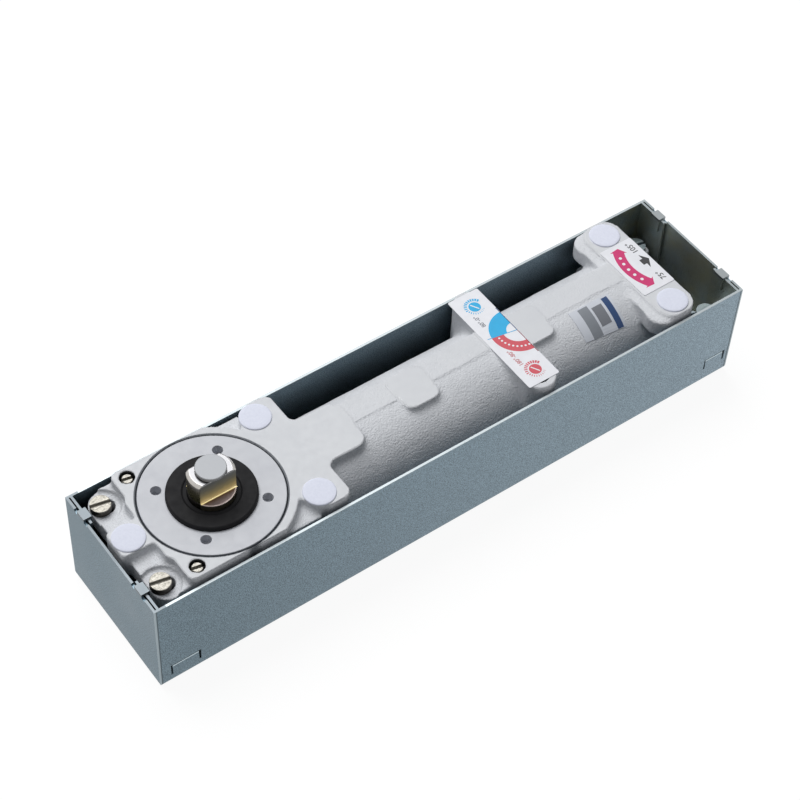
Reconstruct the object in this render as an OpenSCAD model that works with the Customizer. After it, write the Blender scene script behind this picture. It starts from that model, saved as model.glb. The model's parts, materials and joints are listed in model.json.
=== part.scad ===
// Floor spring in its cement box. All sizes are in millimetres.
// The origin is the middle of the box's underside. X runs from the spindle end to the spring end.
// Places marked "from the spindle" are measured along X from the spindle's axis, and places marked
// "from the tube's end" from the end of the spring tube.

/* [Cement box] */
// Outside length of the box
box_l = 341; // [338:1:380]
// Outside width of the box
box_w = 76; // [75:0.5:90]
// Height of the box walls
box_h = 60; // [54:0.5:62]
// Thickness of the zinc plated sheet
sheet = 1.2; // [1:0.1:1.5]
// Outside radius of the bends along the bottom
bend_r = 3; // [2:0.5:5]
// Length of the flange that each long wall turns inside the end walls
flange_w = 19; // [15:1:24]
// Width of the tabs folded over the flanges
tab_w = 6; // [5:0.5:9]
// Distance of each tab's middle from the outside of the long wall
tab_in = 13.5; // [11:0.5:15]
// Length that a folded tab reaches down inside
tab_drop = 7.5; // [5:0.5:12]
// Gap between an end wall and the flanges behind it
fold_gap = 0.7; // [0.3:0.1:1]
// Width of the relief notch on each side of a tab
tab_relief = 2.5; // [1:0.5:3]
// Height of the mortar tongues cut in the long walls
mortar_h = 7; // [5:0.5:9]
// Width of the mortar tongues at the spindle end
mortar_head_w = 16; // [10:0.5:18]
// Distance of their middle from the box end
mortar_head_in = 14; // [12.5:0.5:20]
// Height of their bend line above the underside
mortar_head_z = 6; // [4:0.5:14]
// Width of the mortar tongues at the spring end
mortar_tail_w = 13.5; // [10:0.5:13.5]
// Distance of their middle from the box end
mortar_tail_in = 10; // [9.9:0.1:20]
// Height of their bend line above the underside
mortar_tail_z = 10; // [4:0.5:14]
// Angle by which the mortar tongues are bent inwards
mortar_tilt = 3; // [2:0.5:12]
// Width of the cut round the mortar tongues
mortar_cut = 1; // [0.6:0.1:1.5]

/* [Casting] */
// Distance of the spindle axis from the outside of the box end
spindle_inset = 54; // [53.5:0.5:60]
// Gap between the casting and the sheet under it
foot_gap = 3.8; // [2:0.1:5]
// Outside radius of the spring tube
tube_r = 29; // [28.5:0.5:30]
// Radius of the bore that the piston runs in
bore_r = 21; // [20.6:0.1:21.8]
// Height of the machined flats over the crown of the tube
flat_rise = 1; // [0.6:0.1:1.5]
// Room between the tube's end and the outside of the box end
tail_room = 26.5; // [25.5:0.5:30]
// Gap between the head's flat sides and the box walls
head_gap = 1.8; // [1:0.1:3]
// Thickness of the head plate and its ears
head_t = 10; // [8:0.5:12]
// Radius of the machined land round the bearing cover
land_r = 39; // [38:0.5:40]
// Distance behind the spindle where the head plate ends
head_back = 33; // [31:0.5:34]
// Corner radius of the head plate
head_corner_r = 3; // [2:0.5:4]
// Start of the ears, from the spindle
ear_x0 = 36; // [35.5:0.5:38]
// End of the ears, from the spindle
ear_x1 = 53; // [50:0.5:56]
// Half width of the head where the recesses beside the cover begin
ear_root_y = 23.5; // [22:0.5:25]
// Depth of the two recesses beside the cover
ear_recess = 5; // [3:0.5:7]
// Corner radius of the ears
ear_corner_r = 4; // [2:0.5:6]
// Length of the slanted run from the recess up to the ear's side
ear_slant = 5; // [2:0.5:7]
// Width of the neck between head and tube
neck_w = 29; // [26:0.5:31]
// End of the neck, from the spindle
neck_x = 76.5; // [70:0.5:80]
// Corner radius of the neck
neck_corner_r = 6; // [3:0.5:8]
// Fillet between ears and neck, and beside the nose
notch_r = 4; // [2:0.5:5]
// Reach of the nose between the screw pockets, from the spindle
nose_x = 51; // [50:0.5:52]
// Width of the nose
nose_w = 16; // [15.5:0.5:20]
// Reach of the screw lugs, from the spindle
lug_x = 48; // [47.5:0.5:49]
// Step from the head's side in to the screw lugs' side
lug_step = 0.5; // [0:0.5:1]
// Corner radius of the screw lugs
lug_corner_r = 8; // [5:0.5:9]
// Depth of the screw pockets below the machined flats
pocket_d = 5; // [4:0.5:6]
// Thickness of the head end below the pockets
lug_t = 10; // [8:0.5:12]
// Height of the ridge over the tube's crown
ridge_rise = 0.6; // [0.2:0.1:0.8]
// Near edge of the ridge across the tube
ridge_y0 = -1.5; // [-6:0.5:0]
// Far edge of the ridge across the tube
ridge_y1 = 12; // [8:0.5:13]
// Length of the two machined bosses along the tube
boss_l = 19; // [15:0.5:22]
// Width of the two machined bosses
boss_w = 21; // [18:0.5:24]
// Corner radius of the machined bosses
boss_corner_r = 4; // [2:0.5:6]
// Middle of the first boss, from the spindle
boss_x1 = 112; // [105:0.5:120]
// Middle of the second boss, from the tube's end
boss_back = 79.5; // [72:0.5:81]
// Middle of the valve bar, from the tube's end
valve_back = 94.5; // [92:0.5:99]
// Width of the valve bar
valve_bar_w = 17; // [15:0.5:18]
// Gap between the valve bar's ends and the box walls
valve_bar_gap = 1.3; // [0.5:0.1:2]
// Height of the valve bar's underside above the box floor
valve_bar_z = 14; // [10:0.5:20]
// Middle of the tail bar, from the tube's end
tail_bar_back = 10.3; // [10.2:0.1:13]
// Width of the tail bar
tail_bar_w = 20; // [19:0.5:22]
// Gap between the tail bar's ends and the box walls
tail_bar_gap = 1.3; // [0.5:0.1:2]
// Reach of the tail bar's cast part past its machined top, towards the spindle
tail_bar_foot = 5; // [3:0.5:7]
// Drop of that part below the machined top
tail_bar_step = 2; // [1:0.5:4]
// Thickness of the tail bar
tail_bar_t = 11; // [8:0.5:14]
// Corner radius of the tail bar
tail_bar_corner_r = 8; // [6:0.5:9]
// Reach of the tail lugs past the tube's end
tail_lug_reach = 21.5; // [21:0.5:22.5]
// Gap between the tail lugs and the end plug's thread
tail_lug_gap = 0.5; // [0.3:0.1:1]
// Corner radius of the tail lugs
tail_lug_corner_r = 3; // [2:0.5:5]
// Height of the tail lugs' top face
tail_lug_top = 38; // [35:0.5:42]
// Thickness of the tail lugs
tail_lug_t = 9; // [7:0.5:12]

/* [Fixing and levelling screws] */
// Distance of the head fixing screws from the head's side
fix_in = 9.5; // [9:0.5:10]
// Distance of the tail fixing screws from the head's side
tail_fix_in = 7.5; // [7:0.5:8]
// Place of the head fixing screws behind the spindle
head_fix_x = 43; // [42.5:0.5:44]
// Place of the tail fixing screws past the tube's end
tail_fix_past = 15; // [14.5:0.5:15.5]
// Thread diameter of the fixing and levelling screws
screw_d = 6; // [5:0.5:6.5]
// Diameter of the cheese heads
screw_head_d = 10; // [9:0.5:10.5]
// Height of the cheese heads
screw_head_h = 3.9; // [3:0.1:4.5]
// Width of the driver slots in all screws
slot_w = 1.6; // [1.2:0.1:2]
// Angle at which the driver slots of the outside screws stand
slot_turn = -12; // [-45:1:45]
// Depth of the driver slots
slot_d = 1.9; // [1.2:0.1:2.2]
// Width of the slotted holes under the fixing screws
fix_slot_w = 8; // [7:0.5:8.5]
// Travel that the slotted holes allow
fix_slot_travel = 3; // [1.5:0.5:4]
// Radius of the counterbores in the lugs
cbore_r = 9.5; // [7:0.5:10]
// Depth of the counterbores in the lugs
cbore_d = 2; // [1:0.5:3]
// Place of the head levelling screws behind the spindle
head_level_x = 26.5; // [26:0.5:27]
// Distance of the head levelling screws from the head's side
head_level_in = 5.5; // [5:0.5:6]
// Place of the tail levelling screws past the tube's end
tail_level_past = 5.5; // [5:0.5:6]
// Distance of the tail levelling screws from the head's side
tail_level_in = 7.5; // [7:0.5:8]
// Diameter of the clearance over the levelling screws
level_hole_d = 7.4; // [7:0.1:8]
// Depth of the levelling screws below the machined flats
level_sink = 2; // [1:0.5:4]
// Depth of the wide part of the levelling screws' holes
level_hole_depth = 5; // [3:0.5:8]
// Chamfer on the levelling screws' tops
level_edge = 0.6; // [0.3:0.1:1]
// Height of the tail levelling screws above their lugs
level_proud = 7; // [3:0.5:10]
// Outside diameter of the threaded bushes in the box floor
bush_d = 12; // [10:0.5:14]
// Height of the threaded bushes
bush_h = 9; // [7:0.5:12]
// Gap between a fixing screw's end and the box floor
screw_end_gap = 1; // [0.5:0.5:3]

/* [Spindle] */
// Diameter of the spindle where it leaves the cover
spindle_d = 22.2; // [21:0.1:23]
// Width across the two drive flats
drive_flats = 11.8; // [11:0.1:14]
// Height of the drive flats
drive_h = 12.3; // [10:0.1:16]
// Height of the round ledge under the flats over the machined land
ledge_h = 5.5; // [4.5:0.1:8]
// Diameter of the round centring disc on top
pilot_d = 14.5; // [13:0.1:16]
// Height of the centring disc
pilot_h = 2.1; // [1.5:0.1:3]
// Depth of the neck groove under the centring disc
neck_groove = 0.9; // [0.5:0.1:1.5]
// Height of the neck groove
neck_groove_h = 0.9; // [0.5:0.1:1]
// Chamfer on the rounded ends of the drive flats
drive_chamfer = 1.4; // [0.8:0.1:2]
// Chamfer of the centring disc and of the spindle's lower end
spindle_edge = 0.3; // [0.2:0.1:0.5]
// Diameter of the spindle through bearing and cam
journal_d = 20; // [19:0.1:20.4]
// Diameter of the lower journal
foot_journal_d = 16; // [14:0.1:17]
// Radial clearance of the running fits
run_fit = 0.05; // [0.03:0.01:0.08]

/* [Bearing cover and seal] */
// Land left between the bearing cover and the head's side
side_land = 1; // [0.8:0.1:1.5]
// Thickness of the cover's flange
cover_flange_t = 3.5; // [3:0.5:4.5]
// Thickness of the cover down to the end of its thread
cover_t = 9; // [8:0.5:9.5]
// Step from the cover's flange in to its thread
thread_step = 2; // [1.5:0.5:2.5]
// Step from the thread in to the wall of the cam chamber
chamber_step = 0.5; // [0.3:0.1:1]
// Section of the cover's sealing ring
cover_ring_t = 2; // [1.5:0.1:2.5]
// Wall of the hub that hangs from the cover round the upper bearing
hub_wall = 3; // [2:0.5:4]
// Thickness of the hub's lip under the upper bearing
hub_lip = 2; // [1:0.5:2.5]
// Radial clearance between the cover and the shaft
cover_gap = 1; // [0.5:0.1:1.2]
// Radial gap between the cover's flange and the casting
flange_gap = 0.3; // [0.1:0.05:0.35]
// Width of the joint groove round the cover
joint_groove = 0.8; // [0.4:0.1:1]
// Pitch circle diameter of the pin wrench holes
wrench_pcd = 50.6; // [50:0.1:54]
// Diameter of the pin wrench holes
wrench_d = 5; // [4:0.1:6]
// Depth of the pin wrench holes
wrench_depth = 5; // [3:0.5:6]
// Angle of the first pin wrench hole
wrench_angle = 51.6; // [0:0.1:89]
// Diameter of the rubber shaft seal
seal_d = 42; // [40:0.5:44]
// Height of the shaft seal over the cover
seal_h = 2.6; // [2:0.1:3.5]
// Depth of the shaft seal's seat in the cover
seal_seat = 2; // [1:0.1:3]
// Edge chamfer of the shaft seal
seal_edge = 0.6; // [0.4:0.1:1.5]
// Width of the shaft seal's sunk lip
seal_lip_w = 2; // [1.5:0.1:4]
// Depth of the shaft seal's sunk lip
seal_lip_d = 0.6; // [0.3:0.1:1]
// Outside diameter of the upper needle bearing
upper_bearing_d = 30; // [29:0.5:32]
// Height of the upper needle bearing
upper_bearing_h = 9; // [8:0.5:10]
// Outside diameter of the lower needle bearing
lower_bearing_d = 24; // [23:0.5:26]
// Height of the lower needle bearing
lower_bearing_h = 6; // [4:0.5:6.5]
// Wall of the bearing shells
bearing_wall = 1.4; // [1:0.1:1.6]
// Share of the circle that the needles fill
needle_fill = 0.76; // [0.5:0.01:0.9]
// Length by which the needles stop short of the shell at each end
needle_inset = 0.5; // [0.3:0.1:1]
// Thickness of the thrust washer under the spindle
thrust_t = 1.5; // [1:0.1:2.5]
// Width of the thrust washer past the lower bearing
thrust_rim = 2; // [1:0.5:4]
// Gap under the spindle's lower end
foot_play = 0.3; // [0.2:0.1:0.5]

/* [Cam and piston] */
// Distance of the roller axis from the spindle axis with the door shut
cam_base = 21.5; // [21.3:0.1:22.5]
// Gap between the cam's tip and the wall of its chamber
cam_play = 1.9; // [1.5:0.1:3]
// Opening angle of the door in degrees
open_angle = 175; // [90:5:175]
// Thickness of the cam disc
cam_t = 12; // [10:0.5:13]
// Radius of the cam roller
roller_r = 9; // [8:0.1:9.1]
// Diameter of the roller pin
roller_pin_d = 8; // [7:0.5:9]
// Gap between the cam and the roller over the travel
cam_gap = 0.15; // [0.1:0.05:0.3]
// Gap on each side of the cam in the piston's fork
fork_gap = 1; // [0.6:0.1:1.5]
// Thickness of each fork arm
fork_arm = 7; // [6:0.5:8]
// Reach of the fork past the roller axis, towards the spindle
fork_reach = 8; // [7:0.5:8.5]
// Length of the solid part of the piston
piston_l = 34; // [30:1:40]
// Gap between the solid part of the piston and what lies before it
web_gap = 1; // [0.6:0.1:2]
// Depth that the roller pin stays below the fork's outer faces
pin_inset = 2; // [1:0.5:3]
// Width of the piston's seal ring
seal_ring_w = 4; // [3:0.5:6]
// Depth of the seal ring's groove
seal_ring_t = 2.5; // [1.5:0.5:3]
// Distance of the seal ring from the spring end of the piston
seal_ring_x = 12; // [8:1:16]
// Diameter of the check valve ball
check_ball_d = 5.6; // [5:0.1:6]
// Diameter of the drilling behind the check valve ball
check_port_d = 3; // [2:0.1:4]
// Radial play of the check valve ball in its bore
check_play = 0.3; // [0.2:0.05:0.5]
// Distance of the ball's seat from the front of the piston's solid part
check_seat_x = 15; // [12:0.5:20]
// Thickness of the clip that keeps the ball in
check_clip_t = 1.5; // [1:0.1:2]

/* [Closing spring and end plug] */
// Wire diameter of the closing spring
wire_d = 7.5; // [6.5:0.1:7.7]
// Mean diameter of the closing spring
coil_d = 33.5; // [33:0.1:33.7]
// Turns of the closing spring
coil_turns = 15; // [12:0.5:16]
// Turns that lie close together at each end
close_turns = 1; // [1:0.25:1.5]
// Gap between the close turns
close_gap = 0.6; // [0.5:0.1:1]
// Height of the spigots that centre the spring
spigot_h = 5; // [3:0.5:6]
// Gap between the spring's ends and what they press on
seat_gap = 0.1; // [0.05:0.05:0.2]
// Radial play of the spring on its spigots
spigot_play = 0.8; // [0.6:0.1:1.2]
// Thickness of the end plug
plug_t = 15; // [12:0.5:18]
// Wall of the tube round the end plug
plug_wall = 7.2; // [6.8:0.1:7.5]
// Thickness of the spring plate
plate_t = 3; // [2:0.5:4]
// Radial play of the spring plate in the bore and round the adjuster
plate_play = 0.5; // [0.3:0.1:1]
// Section of the plug's sealing ring
plug_ring_t = 2.5; // [2:0.5:3]
// Distance of the plug's sealing ring from the plug's outer face
plug_ring_x = 8; // [6:0.5:9]
// Width across the corners of the plug's hexagon socket
plug_hex_w = 38; // [30:1:40]
// Depth of the plug's hexagon socket
plug_hex_d = 4; // [3:0.5:5]
// Diameter of the adjuster in the end plug
adjuster_d = 10; // [8:0.5:12]
// Reach of the adjuster past the plug, into the spring
adjuster_in = 10; // [6:0.5:16]
// Length of the adjuster that stands in the plug's socket
adjuster_out = 5; // [3:0.5:8]
// Length of the adjuster's thin inner tip
adjuster_tip = 3; // [2:0.5:5]

/* [Valves and trim] */
// Diameter of the valve screws
valve_d = 7; // [6:0.1:7.5]
// Diameter of the counterbores over the valve screws
valve_cbore_d = 10.4; // [9:0.1:11]
// Depth of the counterbores over the valve screws
valve_cbore_depth = 3; // [2:0.5:5]
// Depth of the valve screws' heads below their counterbores
valve_sink = 0.4; // [0.2:0.1:1]
// Diameter of the valve screws' needles
valve_needle_d = 4.2; // [3.8:0.1:5]
// Length of the valve screws' needles
valve_needle_l = 6; // [4:0.5:8]
// Length of the cone at the needles' tips
valve_cone_l = 2.5; // [2:0.1:3]
// Height of the valve seats above the box floor
valve_seat_z = 36; // [34:0.5:40]
// Diameter of the oil ports
port_d = 3; // [2:0.1:3.5]
// Section of the valve sealing rings
valve_ring_t = 1.2; // [0.8:0.1:1.4]
// Play of the valve sealing rings in their grooves
ring_play = 0.1; // [0.05:0.05:0.2]
// Distance of the valve sealing rings below the counterbores
valve_ring_drop = 6; // [4:0.5:8]
// Thickness of the paper labels
label_t = 0.3; // [0.2:0.1:0.5]
// Width of the valve label
valve_label_w = 18; // [15:0.5:19]
// Distance of the valve label's ends from the bar's ends
valve_label_in = 3; // [2:0.5:5]
// Shift of the valve label towards the far wall
valve_label_shift = 1; // [0:0.5:1.5]
// Width of the hold-open label
hold_label_w = 19.5; // [16:0.5:20]
// Gap between the hold-open label and the far pad
hold_label_far = 0.3; // [0.3:0.1:3]
// Gap between the hold-open label and the near pad
hold_label_near = 2.1; // [0.5:0.1:4]
// Length of the rating label along the tube
rating_label_l = 27; // [20:1:30]
// Middle of the rating label, from the tube's end
rating_label_back = 47; // [43:0.5:50]
// Start angle of the rating label from the tube's crown
rating_a0 = 8; // [6:1:20]
// End angle of the rating label from the tube's crown
rating_a1 = 44; // [40:1:60]
// Diameter of the foam pads under the cover plate
pad_d = 15.6; // [14:0.2:16]
// Thickness of the foam pads
pad_t = 0.8; // [0.6:0.1:2]
// Distance of the pads on the ears and on the tail bar from the head's side
pad_in = 8.7; // [8:0.1:10]
// Place of the pad on the nose, behind the spindle
nose_pad_x = 43.5; // [43:0.1:44]
// Place of the pads on the ears, from the spindle
ear_pad_x = 40.5; // [40:0.1:45]

/* [Hidden] */
$fn = 64;
eps = 0.01;
overlap = 10;
head_w = box_w - 2*sheet - 2*head_gap;
half_head = head_w/2;
tab_y = box_w/2 - tab_in;
// Place along the box, width and height of the bend line of the mortar tongues at each end
mortars = [[mortar_head_in - box_l/2, mortar_head_w, mortar_head_z],
    [box_l/2 - mortar_tail_in, mortar_tail_w, mortar_tail_z]];
lug_y = half_head - lug_step;
fix_y = half_head - fix_in;
tail_fix_y = half_head - tail_fix_in;
head_level_y = half_head - head_level_in;
tail_level_y = half_head - tail_level_in;
pad_y = half_head - pad_in;
hold_label_y0 = hold_label_near + pad_d/2 - pad_y;
hold_label_y1 = pad_y - pad_d/2 - hold_label_far;
valve_bar_y = box_w/2 - sheet - valve_bar_gap;
tail_bar_y = box_w/2 - sheet - tail_bar_gap;
valve_label_l = 2*(valve_bar_y - valve_label_in);
spindle_x = -box_l/2 + spindle_inset;
cast_z0 = sheet + foot_gap;
axis_z = cast_z0 + tube_r;
crown_z = axis_z + tube_r;
top_z = crown_z + flat_rise;
cover_r = half_head - side_land;
cover_thread_r = cover_r - thread_step;
chamber_r = cover_thread_r - chamber_step;
chamber_z0 = axis_z - bore_r;
cover_z0 = top_z - cover_t;
flange_z0 = top_z - cover_flange_t;
pocket_z = top_z - pocket_d;
head_seat_z = pocket_z - cbore_d;
ledge_z = top_z + ledge_h;
drive_top = ledge_z + drive_h;
seal_r = seal_d/2;
seal_z0 = top_z - seal_seat;
upper_bearing_z0 = seal_z0 - upper_bearing_h;
hub_z0 = upper_bearing_z0 - hub_lip;
shoulder_z = chamber_z0 + thrust_t + run_fit;
cam_z0 = axis_z - cam_t/2;
lower_pocket_z0 = chamber_z0 - lower_bearing_h;
cam_rise = (chamber_r - cam_play - cam_base + roller_r + cam_gap)/PI;
piston_stroke = cam_rise*open_angle*PI/180;
roller_x = spindle_x + cam_base;
fork_x0 = roller_x - fork_reach;
fork_z = cam_t/2 + fork_gap;
arm_z = fork_z + fork_arm;
pin_z = arm_z - pin_inset;
web_x0 = web_gap + max(roller_x + roller_r, spindle_x + cover_thread_r);
piston_x1 = web_x0 + piston_l;
check_x = web_x0 + check_seat_x;
check_bore_r = check_ball_d/2 + check_play;
tube_x_end = box_l/2 - tail_room;
plug_r = tube_r - plug_wall;
tail_lug_y = plug_r + tail_lug_gap;
plug_x0 = tube_x_end - plug_t;
plate_x0 = plug_x0 - plate_t;
spigot_r = coil_d/2 - wire_d/2 - spigot_play;
valve_px = tube_x_end - valve_back;
valve_y = valve_bar_y - valve_bar_w/2;
valve_top = top_z - valve_cbore_depth;
valve_ring_z = valve_top - valve_ring_drop;
tail_bar_px = tube_x_end - tail_bar_back;
boss_px = [spindle_x + boss_x1, tube_x_end - boss_back];
fix_head_px = spindle_x - head_fix_x;
fix_tail_px = tube_x_end + tail_fix_past;
level_head_px = spindle_x - head_level_x;
level_tail_px = tube_x_end + tail_level_past;

casting_grey = [0.80, 0.81, 0.83];
zinc = [0.62, 0.66, 0.68];
steel = [0.72, 0.72, 0.70];
dark_steel = [0.45, 0.45, 0.46];
rubber = [0.08, 0.08, 0.09];

// Plane and solid helpers
module rounded_rect(x0, y0, x1, y1, r) {
    translate([x0 + r, y0]) square([x1 - x0 - 2*r, y1 - y0]);
    translate([x0, y0 + r]) square([x1 - x0, y1 - y0 - 2*r]);
    for (x = [x0 + r, x1 - r], y = [y0 + r, y1 - r]) translate([x, y]) circle(r = r);
}

module corner_fillet(x, y, sx, sy, r) {
    translate([x, y]) scale([sx, sy]) difference() {
        translate([-eps, -eps]) square([r + eps, r + eps]);
        translate([r, r]) circle(r = r);
    }
}

module slab(z0, z1) {
    translate([0, 0, z0]) linear_extrude(z1 - z0) children();
}

module rod(x0, x1, r, y = 0, z = axis_z) {
    translate([x0, y, z]) rotate([0, 90, 0]) cylinder(h = x1 - x0, r = r);
}

module ring_x(x0, x1, r_out, r_in) {
    difference() {
        rod(x0, x1, r_out);
        rod(x0 - eps, x1 + eps, r_in);
    }
}

module ring_z(z0, h, r_out, r_in) {
    translate([0, 0, z0]) difference() {
        cylinder(h = h, r = r_out);
        translate([0, 0, -eps]) cylinder(h = h + 2*eps, r = r_in);
    }
}

module both_sides() {
    children();
    mirror([0, 1, 0]) children();
}

module slotted_head(z_top, d, h, edge = 0) {
    rotate([0, 0, slot_turn]) difference() {
        union() {
            translate([0, 0, z_top - h]) cylinder(h = h - edge, d = d);
            if (edge > 0) translate([0, 0, z_top - edge]) cylinder(h = edge, d1 = d, d2 = d - 2*edge);
        }
        translate([-d, -slot_w/2, z_top - slot_d]) cube([2*d, slot_w, slot_d + eps]);
    }
}

// Folded sheet box
module wall_profile() {
    difference() {
        rounded_rect(-box_w/2, 0, box_w/2, box_h + bend_r, bend_r);
        rounded_rect(-box_w/2 + sheet, sheet, box_w/2 - sheet, box_h + 3*bend_r, bend_r - sheet);
        translate([-box_w, box_h]) square([2*box_w, 4*bend_r]);
    }
}

module end_profile() {
    difference() {
        rounded_rect(0, 0, box_l, box_h + bend_r, bend_r);
        rounded_rect(sheet, sheet, box_l - sheet, box_h + 3*bend_r, bend_r - sheet);
        translate([-1, box_h]) square([box_l + 2, 4*bend_r]);
    }
}

module mortar_tongue(w) {
    translate([-w/2 + mortar_cut, 0, 0]) rotate([-mortar_tilt, 0, 0])
        cube([w - 2*mortar_cut, sheet, mortar_h - mortar_cut]);
}

module mortar_window(w) {
    translate([-w/2, -1, 0]) cube([w, sheet + 2, mortar_h]);
}

module end_tab() {
    leg_x = 2*sheet + fold_gap;
    translate([0, -tab_w/2, box_h - eps]) cube([leg_x + sheet, tab_w, sheet + eps]);
    translate([leg_x, -tab_w/2, box_h - tab_drop]) cube([sheet, tab_w, tab_drop + sheet]);
}

module tab_notches() {
    for (s = [-1, 1]) translate([-1, s*(tab_w/2 + tab_relief/2) - tab_relief/2, box_h - sheet])
        cube([sheet + 1, tab_relief, sheet + 1]);
}

module box_end() {
    translate([-box_l/2, 0, 0]) {
        for (y = [-tab_y, tab_y]) translate([0, y, 0]) end_tab();
        both_sides() translate([sheet + fold_gap, box_w/2 - flange_w, 2*bend_r])
            cube([sheet, flange_w - sheet/2, box_h - 2*bend_r]);
    }
}

module cement_box() {
    color(zinc) {
        difference() {
            union() {
                translate([-box_l/2 + sheet, 0, 0]) rotate([90, 0, 90])
                    linear_extrude(box_l - 2*sheet) wall_profile();
                intersection() {
                    translate([-box_l/2, box_w/2, 0]) rotate([90, 0, 0]) linear_extrude(box_w) end_profile();
                    difference() {
                        translate([-box_l, -box_w, -1]) cube([2*box_l, 2*box_w, 2*box_h]);
                        translate([-box_l/2 + bend_r, -box_w, -2])
                            cube([box_l - 2*bend_r, 2*box_w, 2*box_h + 3]);
                    }
                    translate([-box_l, 0, 0]) rotate([90, 0, 90]) linear_extrude(2*box_l)
                        rounded_rect(-box_w/2, 0, box_w/2, box_h + bend_r, bend_r);
                }
                box_end();
                mirror([1, 0, 0]) box_end();
            }
            for (m = mortars) both_sides() translate([m[0], -box_w/2, m[2]]) mortar_window(m[1]);
            for (m = [0, 1]) mirror([m, 0, 0]) for (y = [-tab_y, tab_y])
                translate([-box_l/2, y, 0]) tab_notches();
        }
        for (m = mortars) both_sides() translate([m[0], -box_w/2, m[2]]) mortar_tongue(m[1]);
    }
}

module box_bushes() {
    color(zinc) both_sides() for (p = [[fix_head_px, fix_y], [fix_tail_px, tail_fix_y]])
        translate([p[0], p[1], sheet]) ring_z(0, bush_h, bush_d/2, screw_d/2);
}

// Plan of the machined head plate, seen from above with the spindle at the origin
module head_plan() {
    intersection() {
        circle(r = land_r);
        translate([-half_head, -half_head]) square([2*land_r, head_w]);
    }
    rounded_rect(-head_back, -half_head, 0, half_head, head_corner_r);
    rounded_rect(0, -ear_root_y, ear_x1, ear_root_y, head_corner_r);
    both_sides() {
        polygon([[ear_x0 - ear_slant, ear_root_y], [ear_x0, half_head - ear_slant/2],
            [ear_x0 + ear_slant, half_head], [ear_x1 - ear_corner_r, half_head],
            [ear_x1, half_head - ear_corner_r], [ear_x1, 0], [ear_x0 - ear_slant, 0]]);
        translate([ear_x1 - ear_corner_r, half_head - ear_corner_r]) circle(r = ear_corner_r);
        corner_fillet(ear_x1, neck_w/2, 1, 1, notch_r);
        corner_fillet(-head_back, nose_w/2, -1, 1, notch_r);
    }
    rounded_rect(0, -neck_w/2, neck_x, neck_w/2, neck_corner_r);
    rounded_rect(-nose_x, -nose_w/2, 0, nose_w/2, notch_r/2);
}

module recess_plan() {
    translate([0, -half_head]) square([ear_x0, head_w]);
}

module lug_plan() {
    rounded_rect(-lug_x, -lug_y, 0, lug_y, lug_corner_r);
    rounded_rect(-nose_x, -nose_w/2, 0, nose_w/2, notch_r/2);
}

module fix_slot_plan(x, y) {
    w = fix_slot_w;
    translate([x, y]) {
        translate([0, -w/2]) square([fix_slot_travel, w]);
        circle(d = w);
        translate([fix_slot_travel, 0]) circle(d = w);
    }
}

module casting_outside() {
    translate([spindle_x, 0, 0]) {
        slab(top_z - head_t, top_z) head_plan();
        slab(top_z - head_t, top_z - ear_recess) recess_plan();
        slab(pocket_z - lug_t, pocket_z) lug_plan();
        translate([0, 0, cast_z0]) cylinder(h = top_z - cast_z0, r = half_head);
    }
    rod(spindle_x + overlap, tube_x_end, tube_r);
    translate([spindle_x + neck_x - overlap, ridge_y0, axis_z])
        cube([tail_bar_px - spindle_x - neck_x + overlap, ridge_y1 - ridge_y0, tube_r + ridge_rise]);
    for (x = boss_px) slab(axis_z, top_z) translate([x, 0])
        rounded_rect(-boss_l/2, -boss_w/2, boss_l/2, boss_w/2, boss_corner_r);
    slab(valve_bar_z, top_z) translate([valve_px, 0])
        rounded_rect(-valve_bar_w/2, -valve_bar_y, valve_bar_w/2, valve_bar_y, valve_bar_w/2 - eps);
    slab(top_z - tail_bar_t, top_z) translate([tail_bar_px, 0])
        rounded_rect(-tail_bar_w/2, -tail_bar_y, tail_bar_w/2, tail_bar_y, tail_bar_corner_r);
    slab(top_z - tail_bar_t, top_z - tail_bar_step) translate([tail_bar_px, 0])
        rounded_rect(-tail_bar_w/2 - tail_bar_foot, -tail_bar_y, 0, tail_bar_y, tail_bar_corner_r);
    slab(tail_lug_top - tail_lug_t, tail_lug_top) both_sides() {
        rounded_rect(tail_bar_px - tail_bar_w/2, 0, tube_x_end - overlap/2, lug_y, tail_lug_corner_r);
        rounded_rect(tail_bar_px, tail_lug_y, tube_x_end + tail_lug_reach, lug_y, tail_lug_corner_r);
    }
}

module valve_bore() {
    translate([0, 0, valve_top]) cylinder(h = valve_cbore_depth + eps, d = valve_cbore_d);
    translate([0, 0, valve_seat_z]) cylinder(h = valve_top - valve_seat_z + eps, d = valve_d);
    translate([0, 0, valve_seat_z - port_d]) cylinder(h = port_d + eps, d = port_d);
    translate([0, 0, valve_seat_z - port_d/2]) rotate([90, 0, 0])
        cylinder(h = valve_y - bore_r + port_d, d = port_d);
}

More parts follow.
